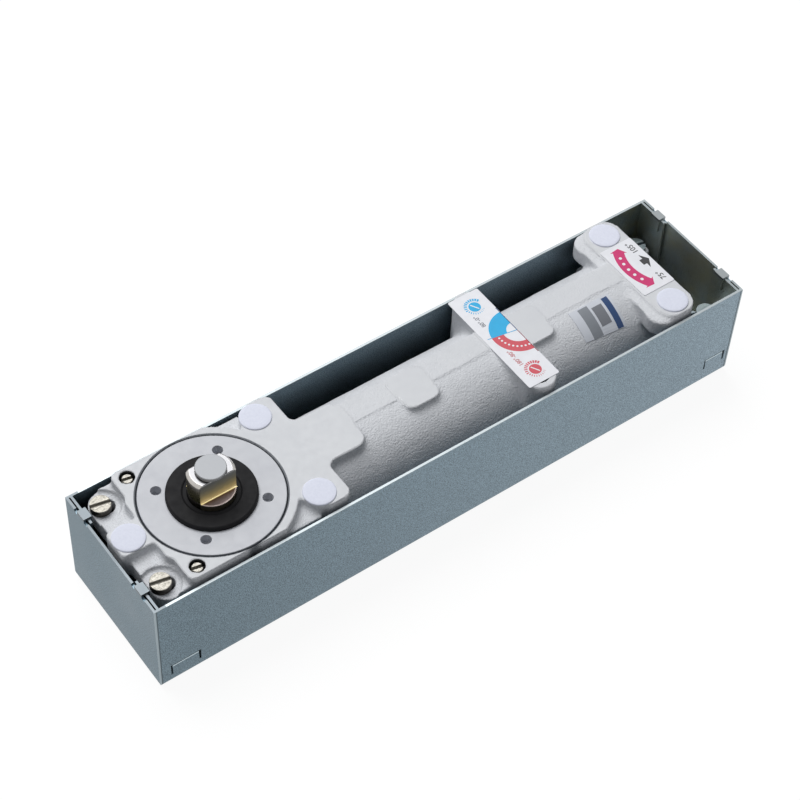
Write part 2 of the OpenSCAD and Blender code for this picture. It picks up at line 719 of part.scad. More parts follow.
module casting_bores() {
    rim_r = cover_r + flange_gap;
    translate([spindle_x, 0, 0]) {
        translate([0, 0, flange_z0]) cylinder(h = cover_flange_t + eps, r = rim_r);
        translate([0, 0, top_z - joint_groove])
            cylinder(h = joint_groove + eps, r1 = rim_r, r2 = rim_r + joint_groove/2);
        translate([0, 0, cover_z0]) cylinder(h = cover_t, r = cover_thread_r);
        translate([0, 0, chamber_z0]) cylinder(h = cover_z0 - chamber_z0 + eps, r = chamber_r);
        translate([0, 0, lower_pocket_z0]) cylinder(h = axis_z - lower_pocket_z0, d = lower_bearing_d);
    }
    rod(spindle_x, tube_x_end + eps, bore_r);
    rod(plug_x0, tube_x_end + eps, plug_r);
    both_sides() {
        slab(pocket_z - lug_t - eps, top_z) fix_slot_plan(fix_head_px, fix_y);
        slab(head_seat_z, top_z) translate([fix_head_px, fix_y]) circle(r = cbore_r);
        slab(tail_lug_top - tail_lug_t - eps, tail_lug_top + eps)
            fix_slot_plan(fix_tail_px - fix_slot_travel/2, tail_fix_y);
        translate([level_head_px, head_level_y, 0]) {
            cylinder(h = top_z + eps, d = screw_d);
            translate([0, 0, top_z - level_hole_depth])
                cylinder(h = level_hole_depth + eps, d = level_hole_d);
        }
        translate([level_tail_px, tail_level_y, 0]) {
            cylinder(h = tail_lug_top + eps, d = screw_d);
            translate([0, 0, tail_lug_top]) cylinder(h = level_proud + eps, d = level_hole_d);
        }
        translate([valve_px, valve_y, 0]) valve_bore();
    }
}

module cast_body() {
    color(casting_grey) difference() {
        casting_outside();
        casting_bores();
    }
}

// Bearing cover, seal and bearings
module bearing_cover() {
    shaft_r = journal_d/2 + cover_gap;
    hub_r = upper_bearing_d/2 + hub_wall;
    groove_r = cover_thread_r - cover_ring_t;
    color(casting_grey) translate([spindle_x, 0, 0]) difference() {
        rotate_extrude() polygon([
            [shaft_r, hub_z0], [hub_r, hub_z0], [hub_r, cover_z0], [cover_thread_r, cover_z0],
            [cover_thread_r, flange_z0 - cover_ring_t], [groove_r, flange_z0 - cover_ring_t],
            [groove_r, flange_z0], [cover_r, flange_z0], [cover_r, top_z - joint_groove],
            [cover_r - joint_groove/2, top_z], [seal_r, top_z], [seal_r, seal_z0],
            [upper_bearing_d/2, seal_z0], [upper_bearing_d/2, upper_bearing_z0],
            [shaft_r, upper_bearing_z0]]);
        for (k = [0 : 3]) rotate([0, 0, wrench_angle + 90*k])
            translate([wrench_pcd/2, 0, top_z - wrench_depth])
                cylinder(h = wrench_depth + eps, d = wrench_d);
    }
}

module cover_ring() {
    color(rubber) translate([spindle_x, 0, 0])
        ring_z(flange_z0 - cover_ring_t, cover_ring_t, cover_thread_r, cover_thread_r - cover_ring_t);
}

module shaft_seal() {
    lip_r = spindle_d/2 + run_fit;
    seal_top = top_z + seal_h;
    color(rubber) translate([spindle_x, 0, 0]) rotate_extrude() polygon([
        [lip_r, seal_z0], [seal_r, seal_z0], [seal_r, seal_top - seal_edge], [seal_r - seal_edge, seal_top],
        [lip_r + seal_lip_w + seal_lip_d, seal_top], [lip_r + seal_lip_w, seal_top - seal_lip_d],
        [lip_r, seal_top - seal_lip_d]]);
}

module bearing_shell(z0, h, d) {
    color(steel) translate([spindle_x, 0, 0]) ring_z(z0, h, d/2, d/2 - bearing_wall);
}

module needle_ring(z0, h, d, shaft_d) {
    gap = d/2 - bearing_wall - shaft_d/2;
    needle_r = gap/2 - run_fit;
    pitch_r = shaft_d/2 + gap/2;
    count = floor(PI*pitch_r/needle_r*needle_fill);
    color(dark_steel) translate([spindle_x, 0, z0 + needle_inset]) for (k = [0 : count - 1])
        rotate([0, 0, 360*k/count]) translate([pitch_r, 0, 0])
            cylinder(h = h - 2*needle_inset, r = needle_r, $fn = 24);
}

module upper_bearing_shell() bearing_shell(upper_bearing_z0, upper_bearing_h, upper_bearing_d);
module upper_bearing_needles() needle_ring(upper_bearing_z0, upper_bearing_h, upper_bearing_d, journal_d);
module lower_bearing_shell() bearing_shell(lower_pocket_z0, lower_bearing_h, lower_bearing_d);
module lower_bearing_needles() needle_ring(lower_pocket_z0, lower_bearing_h, lower_bearing_d, foot_journal_d);

module thrust_washer() {
    color(steel) translate([spindle_x, 0, 0])
        ring_z(chamber_z0, thrust_t, lower_bearing_d/2 + thrust_rim, foot_journal_d/2 + foot_play);
}

// Spindle, cam and roller
module spindle() {
    r = spindle_d/2;
    neck_r = pilot_d/2 - neck_groove;
    foot_r = foot_journal_d/2;
    foot_z = lower_pocket_z0 + foot_play;
    pilot_top = drive_top + pilot_h;
    color(steel) translate([spindle_x, 0, 0]) difference() {
        rotate_extrude() polygon([
            [0, foot_z], [foot_r - spindle_edge, foot_z], [foot_r, foot_z + spindle_edge],
            [foot_r, shoulder_z], [journal_d/2, shoulder_z], [journal_d/2, seal_z0], [r, seal_z0],
            [r, drive_top - drive_chamfer], [r - drive_chamfer, drive_top],
            [pilot_d/2, drive_top], [neck_r, drive_top - neck_groove_h/2],
            [neck_r, drive_top + neck_groove_h/2],
            [pilot_d/2, drive_top + neck_groove_h/2], [pilot_d/2, pilot_top - spindle_edge],
            [pilot_d/2 - spindle_edge, pilot_top], [0, pilot_top]]);
        both_sides() translate([-spindle_d, drive_flats/2, ledge_z])
            cube([2*spindle_d, spindle_d, drive_h + eps]);
    }
}

function cam_reach(a) = cam_base + cam_rise*a*PI/180;
function cam_point(a) = let (
    p = cam_reach(a), n = sqrt(p*p + cam_rise*cam_rise), off = roller_r + cam_gap,
    radial = p - off*p/n, along = off*cam_rise/n)
    [radial*cos(a) - along*sin(a), radial*sin(a) + along*cos(a)];
function notch_point(t) = let (a0 = atan2(cam_point(0)[1], cam_base - cam_point(0)[0]))
    [cam_base - (roller_r + cam_gap)*cos(a0*t), (roller_r + cam_gap)*sin(a0*t)];
dead_centre = 180;
cam_step = 4;
notch_steps = 8;
tip_relief = 0.2;
cam_flank = [for (a = [0 : cam_step : dead_centre]) if (cam_point(a)[1] > tip_relief) cam_point(a)];
cam_tip = cam_reach(dead_centre) - roller_r - cam_gap - tip_relief;
cam_half = concat([for (k = [1 : notch_steps - 1]) notch_point(k/notch_steps)], cam_flank);
cam_count = len(cam_half);

module cam_disc() {
    color(steel) translate([spindle_x, 0, cam_z0]) linear_extrude(cam_t) difference() {
        polygon(concat([notch_point(0)], cam_half, [[-cam_tip, 0]],
            [for (k = [cam_count - 1 : -1 : 0]) [cam_half[k][0], -cam_half[k][1]]]));
        circle(d = journal_d);
    }
}

module cam_roller() {
    color(dark_steel) translate([roller_x, 0, 0]) ring_z(cam_z0, cam_t, roller_r, roller_pin_d/2 + run_fit);
}

module roller_pin() {
    color(steel) translate([roller_x, 0, axis_z - pin_z]) cylinder(h = 2*pin_z, d = roller_pin_d);
}

// Piston with its fork, ring and check valve
module piston_blank() {
    intersection() {
        rod(fork_x0, piston_x1, bore_r - run_fit);
        union() {
            translate([web_x0, -tube_r, axis_z - tube_r]) cube([piston_l, 2*tube_r, 2*tube_r]);
            translate([fork_x0, -tube_r, axis_z - arm_z]) cube([web_x0 - fork_x0 + eps, 2*tube_r, 2*arm_z]);
        }
    }
    rod(piston_x1 - eps, piston_x1 + spigot_h, spigot_r);
}

module piston() {
    ring_px = piston_x1 - seal_ring_x;
    color(dark_steel) difference() {
        piston_blank();
        translate([fork_x0 - eps, -tube_r, axis_z - fork_z])
            cube([web_x0 - fork_x0 + eps, 2*tube_r, 2*fork_z]);
        translate([roller_x, 0, axis_z - pin_z]) cylinder(h = 2*pin_z, d = roller_pin_d);
        ring_x(ring_px - seal_ring_w, ring_px, bore_r + eps, bore_r - seal_ring_t);
        rod(web_x0 - eps, check_x, check_bore_r);
        rod(web_x0, piston_x1 + spigot_h + eps, check_port_d/2);
    }
}

module piston_ring() {
    ring_px = piston_x1 - seal_ring_x;
    color(rubber) ring_x(ring_px - seal_ring_w, ring_px, bore_r - run_fit, bore_r - seal_ring_t);
}

module check_ball() {
    lift = sqrt(pow(check_ball_d/2, 2) - pow(check_port_d/2, 2));
    color(steel) translate([check_x - lift, 0, axis_z]) sphere(d = check_ball_d);
}

module check_ball_clip() {
    color(steel) ring_x(web_x0, web_x0 + check_clip_t, check_bore_r, check_port_d/2);
}

// Closing spring, one unbroken wire with a close turn at each end
spring_x0 = piston_x1 + seat_gap;
spring_l = plate_x0 - seat_gap - spring_x0;
coil_sides = 8;
coil_rings = 12;
ring_total = round(coil_turns*coil_rings);
active_turns = coil_turns - 2*close_turns;
close_pitch = wire_d + close_gap;
open_pitch = (spring_l - wire_d - 2*close_turns*close_pitch)/active_turns;
turn_step = 0.02;
function coil_x(t) = t < close_turns ? t*close_pitch
    : t < close_turns + active_turns ? close_turns*close_pitch + (t - close_turns)*open_pitch
    : close_turns*close_pitch + active_turns*open_pitch + (t - close_turns - active_turns)*close_pitch;
function coil_ring(k) = let (
    t = k/coil_rings, a = 360*t, x = spring_x0 + wire_d/2 + coil_x(t),
    pitch = (coil_x(min(t + turn_step, coil_turns)) - coil_x(max(t - turn_step, 0)))/(2*turn_step),
    lean = atan2(pitch, PI*coil_d))
    [for (s = [0 : coil_sides - 1]) let (
        b = 360*s/coil_sides, out = wire_d/2*cos(b), side = wire_d/2*sin(b),
        rr = coil_d/2 + out, turn = side*sin(lean))
        [x + side*cos(lean), rr*cos(a) + turn*sin(a), axis_z + rr*sin(a) - turn*cos(a)]];

module closing_spring() {
    points = [for (k = [0 : ring_total]) each coil_ring(k)];
    n = coil_sides;
    sides = [for (k = [0 : ring_total - 1], s = [0 : n - 1], half = [0, 1])
        let (a = k*n + s, b = k*n + (s + 1) % n)
        half == 0 ? [a, b, b + n] : [a, b + n, a + n]];
    caps = concat([for (s = [1 : n - 2]) [0, s + 1, s]],
        [for (s = [1 : n - 2]) [ring_total*n, ring_total*n + s, ring_total*n + s + 1]]);
    color(dark_steel) polyhedron(points, concat(sides, caps));
}

coil_gap = min(close_pitch, open_pitch) - wire_d;
echo(least_gap_between_turns = coil_gap);
echo(gap_left_with_the_door_open = open_pitch - piston_stroke/active_turns - wire_d);

module spring_plate() {
    color(steel) difference() {
        union() {
            rod(plate_x0, plug_x0, bore_r - plate_play);
            rod(plate_x0 - spigot_h, plate_x0 + eps, spigot_r);
        }
        rod(plate_x0 - spigot_h - eps, plug_x0 + eps, adjuster_d/2 + plate_play);
    }
}

module end_plug() {
    groove_x = tube_x_end - plug_ring_x;
    color(dark_steel) difference() {
        rod(plug_x0, tube_x_end, plug_r);
        ring_x(groove_x, groove_x + plug_ring_t, plug_r + eps, plug_r - plug_ring_t);
        translate([tube_x_end - plug_hex_d, 0, axis_z]) rotate([0, 90, 0])
            cylinder(h = plug_hex_d + eps, d = plug_hex_w, $fn = 6);
        rod(plug_x0 - eps, tube_x_end + eps, adjuster_d/2 + run_fit);
    }
}

module plug_ring() {
    groove_x = tube_x_end - plug_ring_x;
    color(rubber) ring_x(groove_x, groove_x + plug_ring_t, plug_r, plug_r - plug_ring_t);
}

module hold_open_adjuster() {
    outer_x = tube_x_end - plug_hex_d + adjuster_out;
    inner_x = plug_x0 - adjuster_in;
    color(steel) difference() {
        union() {
            rod(inner_x, outer_x, adjuster_d/2);
            rod(inner_x - adjuster_tip, inner_x + eps, adjuster_d/4);
        }
        translate([outer_x - slot_d, -adjuster_d, axis_z - slot_w/2])
            cube([slot_d + eps, 2*adjuster_d, slot_w]);
    }
}

// Speed valves
module speed_valve(side) {
    r = valve_d/2 - run_fit;
    groove_r = r - valve_ring_t;
    tip_z = valve_seat_z - valve_cone_l/2;
    needle_z = valve_seat_z + valve_needle_l;
    head_z = valve_top - valve_sink;
    color(steel) translate([valve_px, side*valve_y, 0]) difference() {
        rotate_extrude() polygon([
            [0, tip_z], [port_d/4, tip_z], [valve_needle_d/2, tip_z + valve_cone_l],
            [valve_needle_d/2, needle_z], [r, needle_z], [r, valve_ring_z - valve_ring_t],
            [groove_r, valve_ring_z - valve_ring_t], [groove_r, valve_ring_z], [r, valve_ring_z],
            [r, head_z - valve_sink], [r - valve_sink, head_z], [0, head_z]]);
        translate([-valve_d, -slot_w/2, head_z - slot_d]) cube([2*valve_d, slot_w, slot_d + eps]);
    }
}

module closing_valve() speed_valve(1);
module latching_valve() speed_valve(-1);

module valve_rings() {
    z0 = valve_ring_z - valve_ring_t + ring_play;
    color(rubber) both_sides() translate([valve_px, valve_y, 0])
        ring_z(z0, valve_ring_t - 2*ring_play, valve_d/2, valve_d/2 - valve_ring_t + ring_play);
}

// Labels and foam pads
module valve_label() {
    color("white") translate([valve_px - valve_label_w/2, valve_label_shift - valve_label_l/2, top_z])
        cube([valve_label_w, valve_label_l, label_t]);
}

module hold_open_label() {
    color("white") translate([tail_bar_px - hold_label_w/2, hold_label_y0, top_z])
        cube([hold_label_w, hold_label_y1 - hold_label_y0, label_t]);
}

module rating_label() {
    x0 = tube_x_end - rating_label_back - rating_label_l/2;
    reach = 2*tube_r;
    color("white") intersection() {
        difference() {
            rod(x0, x0 + rating_label_l, tube_r + label_t);
            rod(x0 - 1, x0 + rating_label_l + 1, tube_r);
        }
        translate([x0, 0, axis_z]) rotate([90, 0, 90]) linear_extrude(rating_label_l)
            polygon([[0, 0], [-reach*sin(rating_a0), reach*cos(rating_a0)],
                [-reach*sin(rating_a1), reach*cos(rating_a1)]]);
    }
}

module cover_pads() {
    color([0.87, 0.88, 0.93]) {
        translate([spindle_x - nose_pad_x, 0, top_z]) cylinder(h = pad_t, d = pad_d);
        both_sides() {
            translate([spindle_x + ear_pad_x, pad_y, top_z]) cylinder(h = pad_t, d = pad_d);
            translate([tail_bar_px, pad_y, top_z]) cylinder(h = pad_t, d = pad_d);
        }
    }
}

// Screws
module fixing_screws(x, y, seat_z) {
    color(steel) for (side = [-1, 1]) translate([x, side*y, 0]) {
        slotted_head(seat_z + screw_head_h, screw_head_d, screw_head_h);
        translate([0, 0, sheet + screw_end_gap])
            cylinder(h = seat_z - sheet - screw_end_gap + eps, d = screw_d);
    }
}

module levelling_screws(x, y, z_top) {
    color(steel) for (side = [-1, 1]) translate([x, side*y, 0])
        slotted_head(z_top, screw_d, z_top - sheet, level_edge);
}

module head_fixing_screws() fixing_screws(fix_head_px, fix_y, head_seat_z);
module tail_fixing_screws() fixing_screws(fix_tail_px, tail_fix_y, tail_lug_top);
module head_levelling_screws() levelling_screws(level_head_px, head_level_y, top_z - level_sink);
module tail_levelling_screws() levelling_screws(level_tail_px, tail_level_y, tail_lug_top + level_proud);

cement_box();
box_bushes();
cast_body();
bearing_cover();
cover_ring();
shaft_seal();
upper_bearing_shell();
upper_bearing_needles();
lower_bearing_shell();
lower_bearing_needles();
thrust_washer();
spindle();
cam_disc();
cam_roller();
roller_pin();
piston();
piston_ring();
check_ball();
check_ball_clip();
closing_spring();
spring_plate();
end_plug();
plug_ring();
hold_open_adjuster();
closing_valve();
latching_valve();
valve_rings();
valve_label();
hold_open_label();
rating_label();
cover_pads();
head_fixing_screws();
tail_fixing_screws();
head_levelling_screws();
tail_levelling_screws();
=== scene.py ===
"""Floor spring in its cement box: surfaces, labels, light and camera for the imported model.

Every length is in metres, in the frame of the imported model, and MM turns millimetres into it.
The flat outlines of the labels are in millimetres until prism_mesh makes a mesh of them.
The head is the end of the box with the spindle, the tail is the end with the spring.
"""
import json
import math

import bmesh
import bpy
import numpy as np
from mathutils import Matrix, Vector, noise


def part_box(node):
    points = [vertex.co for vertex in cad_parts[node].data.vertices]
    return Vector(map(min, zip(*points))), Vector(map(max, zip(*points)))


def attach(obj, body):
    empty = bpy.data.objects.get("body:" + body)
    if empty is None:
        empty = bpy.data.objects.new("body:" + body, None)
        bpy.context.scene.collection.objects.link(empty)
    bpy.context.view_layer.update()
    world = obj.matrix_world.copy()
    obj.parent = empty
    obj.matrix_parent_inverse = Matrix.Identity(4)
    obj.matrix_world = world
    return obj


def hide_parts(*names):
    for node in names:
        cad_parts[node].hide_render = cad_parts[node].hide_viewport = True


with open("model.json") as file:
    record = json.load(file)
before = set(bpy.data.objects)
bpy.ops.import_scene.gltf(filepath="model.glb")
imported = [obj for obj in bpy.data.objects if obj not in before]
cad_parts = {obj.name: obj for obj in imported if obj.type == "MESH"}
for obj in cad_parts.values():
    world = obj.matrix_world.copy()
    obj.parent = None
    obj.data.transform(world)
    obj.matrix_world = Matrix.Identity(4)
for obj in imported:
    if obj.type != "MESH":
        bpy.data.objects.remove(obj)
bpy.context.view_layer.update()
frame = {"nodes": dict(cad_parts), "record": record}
MM = 0.001

BODY_OF = {
    node: body
    for body, nodes in frame["record"]["behaviour"]["bodies"].items()
    for node in nodes
}
SLOT_OF = {part["node"]: part["material_slot"] for part in frame["record"]["subparts"]}


def middle(node):
    low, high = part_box(node)
    return (low + high) / 2


# Places read from the frame
SPINDLE_X = middle("bearing_cover").x
AXIS_Z = middle("closing_spring").z
VALVE_LABEL_X = middle("valve_label").x
TAIL_BAR_X = middle("hold_open_label").x
COVER_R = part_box("bearing_cover")[1].y
FLAT_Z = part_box("bearing_cover")[1].z
LABEL_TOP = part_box("valve_label")[1].z
BOX_END_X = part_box("cement_box")[1].x
BOX_SIDE_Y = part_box("cement_box")[1].y

# Places that the frame doesn't name
SHEET = 1.2 * MM
INNER_END_X = BOX_END_X - SHEET
INNER_SIDE_Y = BOX_SIDE_Y - SHEET
BOX_RIM_Z = 60 * MM
TUBE_R = 29 * MM
DRIVE_FLAT_Y = 5.9 * MM
DRIVE_LEDGE_Z = 69.5 * MM
DRIVE_TOP_Z = 81.8 * MM
DISC_TOP_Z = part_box("spindle")[1].z
HEAD_SCREW_X = -159.5 * MM
HEAD_SCREW_Y = 25.5 * MM
SET_SCREW_X = -143 * MM
SET_SCREW_Y = 29.5 * MM
SET_SCREW_TOP_Z = 62.9 * MM


# Shader helpers
def linear(red, green, blue):
    """A colour given as it shows on screen, 0 to 255, as the linear colour that a shader takes."""
    def channel(value):
        value /= 255
        return value / 12.92 if value <= 0.04045 else ((value + 0.055) / 1.055) ** 2.4
    return (channel(red), channel(green), channel(blue), 1)


class Shader:
    """One node material, built up by short calls. A mask is 1 where it applies and 0 elsewhere."""

    def __init__(self, name, **values):
        self.material = bpy.data.materials.new(name)
        self.material.use_nodes = True
        self.tree = self.material.node_tree
        self.tree.nodes.clear()
        self.output = self.node("OutputMaterial")
        self.surface = self.node("BsdfPrincipled")
        self.feed(self.output.inputs[0], self.surface.outputs[0])
        for name, value in values.items():
            self.feed(self.surface.inputs[name.replace("_", " ")], value)
        self.place = self.node("TexCoord").outputs["Object"]
        split = self.node("SeparateXYZ")
        self.feed(split.inputs[0], self.place)
        self.x, self.y, self.z = split.outputs
        self.off_middle = self.math("ABSOLUTE", self.y)

    def node(self, kind):
        return self.tree.nodes.new("ShaderNode" + kind)

    def feed(self, slot, value):
        """Sets a slot to a plain value, or links another node's output to it."""
        if isinstance(value, (int, float, tuple)):
            slot.default_value = value
        else:
            self.tree.links.new(value, slot)

    def math(self, operation, first, second=0.0):
        node = self.node("Math")
        node.operation = operation
        self.feed(node.inputs[0], first)
        self.feed(node.inputs[1], second)
        return node.outputs[0]

    def total(self, first, second):
        return self.math("ADD", first, second)

    def product(self, first, *others):
        for other in others:
            first = self.math("MULTIPLY", first, other)
        return first

    def span(self, source, low, high, to_low=0.0, to_high=1.0):
        """Turns the stretch from low to high into to_low to to_high, and holds its ends."""
        node = self.node("MapRange")
        limits = (("From Min", low), ("From Max", high), ("To Min", to_low), ("To Max", to_high))
        for name, value in limits:
            node.inputs[name].default_value = value
        self.feed(node.inputs["Value"], source)
        return node.outputs[0]

    def rise(self, source, start, width):
        """A mask that is 0 up to start and reaches 1 over the width."""
        return self.span(source, start, start + width)

    def fall(self, source, start, width):
        """A mask that is 1 up to start and reaches 0 over the width."""
        return self.span(source, start, start + width, 1, 0)

    def radius(self, x, y):
        """Distance from an upright axis."""
        dx = self.math("SUBTRACT", self.x, x)
        dy = self.math("SUBTRACT", self.y, y)
        return self.math("SQRT", self.total(self.product(dx, dx), self.product(dy, dy)))

    def noise(self, scale, detail, roughness=0.55, stretch=(1, 1, 1)):
        mapping = self.node("Mapping")
        mapping.inputs["Scale"].default_value = stretch
        self.feed(mapping.inputs["Vector"], self.place)
        node = self.node("TexNoise")
        for name, value in (("Scale", scale), ("Detail", detail), ("Roughness", roughness)):
            node.inputs[name].default_value = value
        self.feed(node.inputs["Vector"], mapping.outputs[0])
        return node.outputs["Fac"]

    def varied(self, scale, detail, low=0.0, high=1.0):
        """A value that wanders between low and high."""
        return self.span(self.noise(scale, detail), 0.3, 0.7, low, high)

    def ramp(self, source, stops):
        node = self.node("ValToRGB")
        ramp = node.color_ramp
        while len(ramp.elements) < len(stops):
            ramp.elements.new(0.5)
        for element, (position, colour) in zip(ramp.elements, stops):
            element.position = position
            element.color = colour
        self.feed(node.inputs[0], source)
        return node.outputs[0]

    def mottled(self, scale, detail, low, high):
        """Two colours in soft patches."""
        return self.ramp(self.noise(scale, detail), [(0.3, low), (0.7, high)])

    def mix(self, mask, first, second):
        """The first colour where the mask is 0, the second where it is 1."""
        node = self.node("Mix")
        node.data_type = "RGBA"
        self.feed(node.inputs["Factor"], mask)
        self.feed(node.inputs[6], first)
        self.feed(node.inputs[7], second)
        return node.outputs[2]

    def scaled(self, colour, factor):
        """A colour made lighter or darker by a factor that varies over the surface."""
        node = self.node("VectorMath")
        node.operation = "SCALE"
        self.feed(node.inputs[0], colour)
        self.feed(node.inputs["Scale"], factor)
        return node.outputs[0]

    def finish(self, colour, rough, height, depth, strength=1.0):
        """Gives the surface its colour, roughness and bump, and hands back the material."""
        bump = self.node("Bump")
        self.feed(bump.inputs["Height"], height)
        bump.inputs["Distance"].default_value = depth
        bump.inputs["Strength"].default_value = strength
        self.feed(self.surface.inputs["Base Color"], colour)
        self.feed(self.surface.inputs["Roughness"], rough)
        self.feed(self.surface.inputs["Normal"], bump.outputs[0])
        return self.material


# Paint
def cast_paint():
    """Light grey paint: orange peel on the rough casting, smooth on the machined flats."""
    s = Shader("cast_paint")
    rough_part = s.fall(s.z, FLAT_Z - 0.7 * MM, 0.55 * MM)
    patches = s.mottled(60, 4, linear(209, 211, 215), linear(218, 220, 224))
    flats = s.mottled(35, 2, linear(206, 208, 212), linear(210, 212, 215))
    paint = s.mix(rough_part, flats, patches)

    # Painted shade in the gap round the cover
    off_spindle = s.radius(SPINDLE_X, 0)
    gap = s.product(s.rise(off_spindle, COVER_R - 0.3 * MM, 0.2 * MM),
                    s.fall(off_spindle, COVER_R + 0.95 * MM, 0.2 * MM))
    paint = s.mix(gap, paint, linear(104, 108, 114))
    # Near-black painted shade down the wells round the head's levelling screws
    under_flat = s.fall(s.z, FLAT_Z - 0.45 * MM, 0.25 * MM)
    for side in (-1, 1):
        off_well = s.radius(SET_SCREW_X, side * (SET_SCREW_Y + 0.3 * MM))
        well = s.fall(off_well, 4.1 * MM, 0.2 * MM)
        paint = s.mix(s.product(well, under_flat), paint, linear(22, 23, 25))

    # Orange peel, and the mould's parting line along the crown of the tube
    peel = s.total(s.product(s.noise(1150, 2), 0.5), s.product(s.noise(420, 2), 0.2))
    peel = s.product(peel, s.span(rough_part, 0, 1, 0.05, 1))
    line_start_x, line_end_x, crown_z = -40 * MM, 113 * MM, 60 * MM
    wavering_y = s.total(s.y, s.product(s.noise(50, 2, 0.5), 3 * MM))
    line = s.product(s.rise(wavering_y, -0.1 * MM, 0.5 * MM),
                     s.rise(s.x, line_start_x, 1 * MM), s.fall(s.x, line_end_x, 1 * MM),
                     s.rise(s.z, crown_z, 0.5 * MM), rough_part, 0.22)
    return s.finish(paint, s.varied(300, 2, 0.42, 0.6), s.total(peel, line), 1 * MM)


def turned_paint():
    """The same paint over the turned bearing cover, with its fine rings just visible."""
    s = Shader("turned_paint")
    ring_pitch = 0.9 * MM
    off_spindle = s.radius(SPINDLE_X, 0)
    rings = s.math("SINE", s.product(off_spindle, 2 * math.pi / ring_pitch))
    paint = s.mottled(50, 3, linear(189, 191, 197), linear(196, 198, 203))
    # Painted shade round the outer edge of the cover, where it meets the gap
    edge = s.rise(off_spindle, COVER_R - 0.5 * MM, 0.3 * MM)
    paint = s.mix(edge, paint, linear(108, 112, 118))
    height = s.total(s.product(rings, 0.15), s.noise(500, 2))
    return s.finish(paint, s.varied(240, 2, 0.38, 0.5), height, 0.06 * MM, 0.5)


# Sheet and steel
def zinc_sheet():
    """Zinc plated sheet: grainy, a little cloudy and stained at the tail, with painted highlights
    along its corners and tongue bends and painted light inside the tail's end wall.
    """
    s = Shader("zinc_sheet", Metallic=1.0)
    grain = s.noise(1900, 3, 0.7)
    cloud = s.noise(24, 4, 0.6)
    head_zinc = s.mix(cloud, linear(97, 114, 124), linear(112, 129, 138))
    tail_zinc = s.mix(cloud, linear(122, 139, 150), linear(138, 154, 164))
    sheet = s.mix(s.span(s.x, -150 * MM, 160 * MM), head_zinc, tail_zinc)
    sheet = s.scaled(sheet, s.span(grain, 0.3, 0.7, 0.36, 1.68))

    # Olive stain inside the tail, and painted light that brightens the inside of the tail's end wall,
    # most in its middle
    inside_end = s.fall(s.x, INNER_END_X + 0.2 * MM, 0.3 * MM)
    stain = s.product(inside_end, s.span(s.x, 128 * MM, 160 * MM),
                      s.fall(s.off_middle, INNER_SIDE_Y + 0.1 * MM, 0.3 * MM),
                      s.span(s.noise(70, 3), 0.35, 0.65, 0.2, 0.7))
    sheet = s.mix(stain, sheet, linear(158, 156, 124))
    # Painted light on the inside of the tail's end wall and the strip of sheet next to it
    end_wall_painted_light = s.product(inside_end, s.rise(s.x, INNER_END_X - 4.5 * MM, 0.3 * MM),
                     s.fall(s.off_middle, INNER_SIDE_Y - 0.3 * MM, 0.15 * MM),
                     s.span(s.off_middle, 14 * MM, 27 * MM, 0.8, 0.35))
    painted_light_colour = s.ramp(s.noise(55, 3), [(0.35, linear(198, 209, 211)), (0.65, linear(206, 207, 184))])
    sheet = s.mix(end_wall_painted_light, sheet, painted_light_colour)

    # Painted highlights along the bends of the mortar tongues: the middle, half the width and the
    # height of each
    on_wall = s.rise(s.off_middle, INNER_SIDE_Y - 0.5 * MM, 0.2 * MM)
    for x, reach, bend_z in ((-156.5 * MM, 7 * MM, 12 * MM), (160.5 * MM, 5.8 * MM, 16 * MM)):
        off_tongue = s.math("ABSOLUTE", s.math("SUBTRACT", s.x, x))
        bend_highlight = s.product(on_wall, s.fall(off_tongue, reach - 0.2 * MM, 0.2 * MM),
                         s.rise(s.z, bend_z - 0.9 * MM, 0.3 * MM),
                         s.fall(s.z, bend_z + 0.2 * MM, 0.1 * MM))
        sheet = s.mix(bend_highlight, sheet, linear(184, 198, 204))

    # On the long walls' outer faces, a painted highlight along each corner with painted shade just
    # inside it; then the rim and the tabs folded over it
    outside = s.rise(s.off_middle, BOX_SIDE_Y - 0.5 * MM, 0.2 * MM)
    off_centre = s.math("ABSOLUTE", s.x)
    corner_shade = s.product(outside, s.rise(off_centre, INNER_END_X - 0.4 * MM, 0.3 * MM))
    sheet = s.mix(corner_shade, sheet, linear(74, 86, 92))
    corner_highlight = s.product(outside, s.rise(off_centre, INNER_END_X + 0.2 * MM, 0.3 * MM))
    sheet = s.mix(corner_highlight, sheet, linear(150, 162, 168))
    at_head = s.fall(s.x, 4.9 * MM - INNER_END_X, 0.4 * MM)
    rim = s.rise(s.z, BOX_RIM_Z - 0.28 * MM, 0.2 * MM)
    rim_zinc = s.mix(on_wall, linear(136, 143, 146), linear(152, 159, 162))
    sheet = s.mix(rim, sheet, s.mix(at_head, rim_zinc, linear(99, 105, 109)))
    tab = s.product(s.rise(s.z, BOX_RIM_Z + 0.2 * MM, 0.2 * MM), s.varied(500, 3, 0.6, 1))
    tab_zinc = s.mix(at_head, linear(134, 138, 140), linear(100, 106, 110))
    sheet = s.mix(tab, sheet, tab_zinc)
    return s.finish(sheet, s.span(cloud, 0.3, 0.7, 0.4, 0.52), grain, 0.02 * MM, 0.4)


def plated_steel(name, low, high, rough_low, rough_high):
    """Bright plated or ground steel with short scratches."""
    s = Shader(name, Metallic=1.0)
    scratches = s.noise(420, 4, 0.7, (1, 9, 1))
    metal = s.mix(s.varied(160, 4), low, high)
    rough = s.span(scratches, 0.3, 0.7, rough_low, rough_high)
    return s.finish(metal, rough, scratches, 0.03 * MM, 0.5)


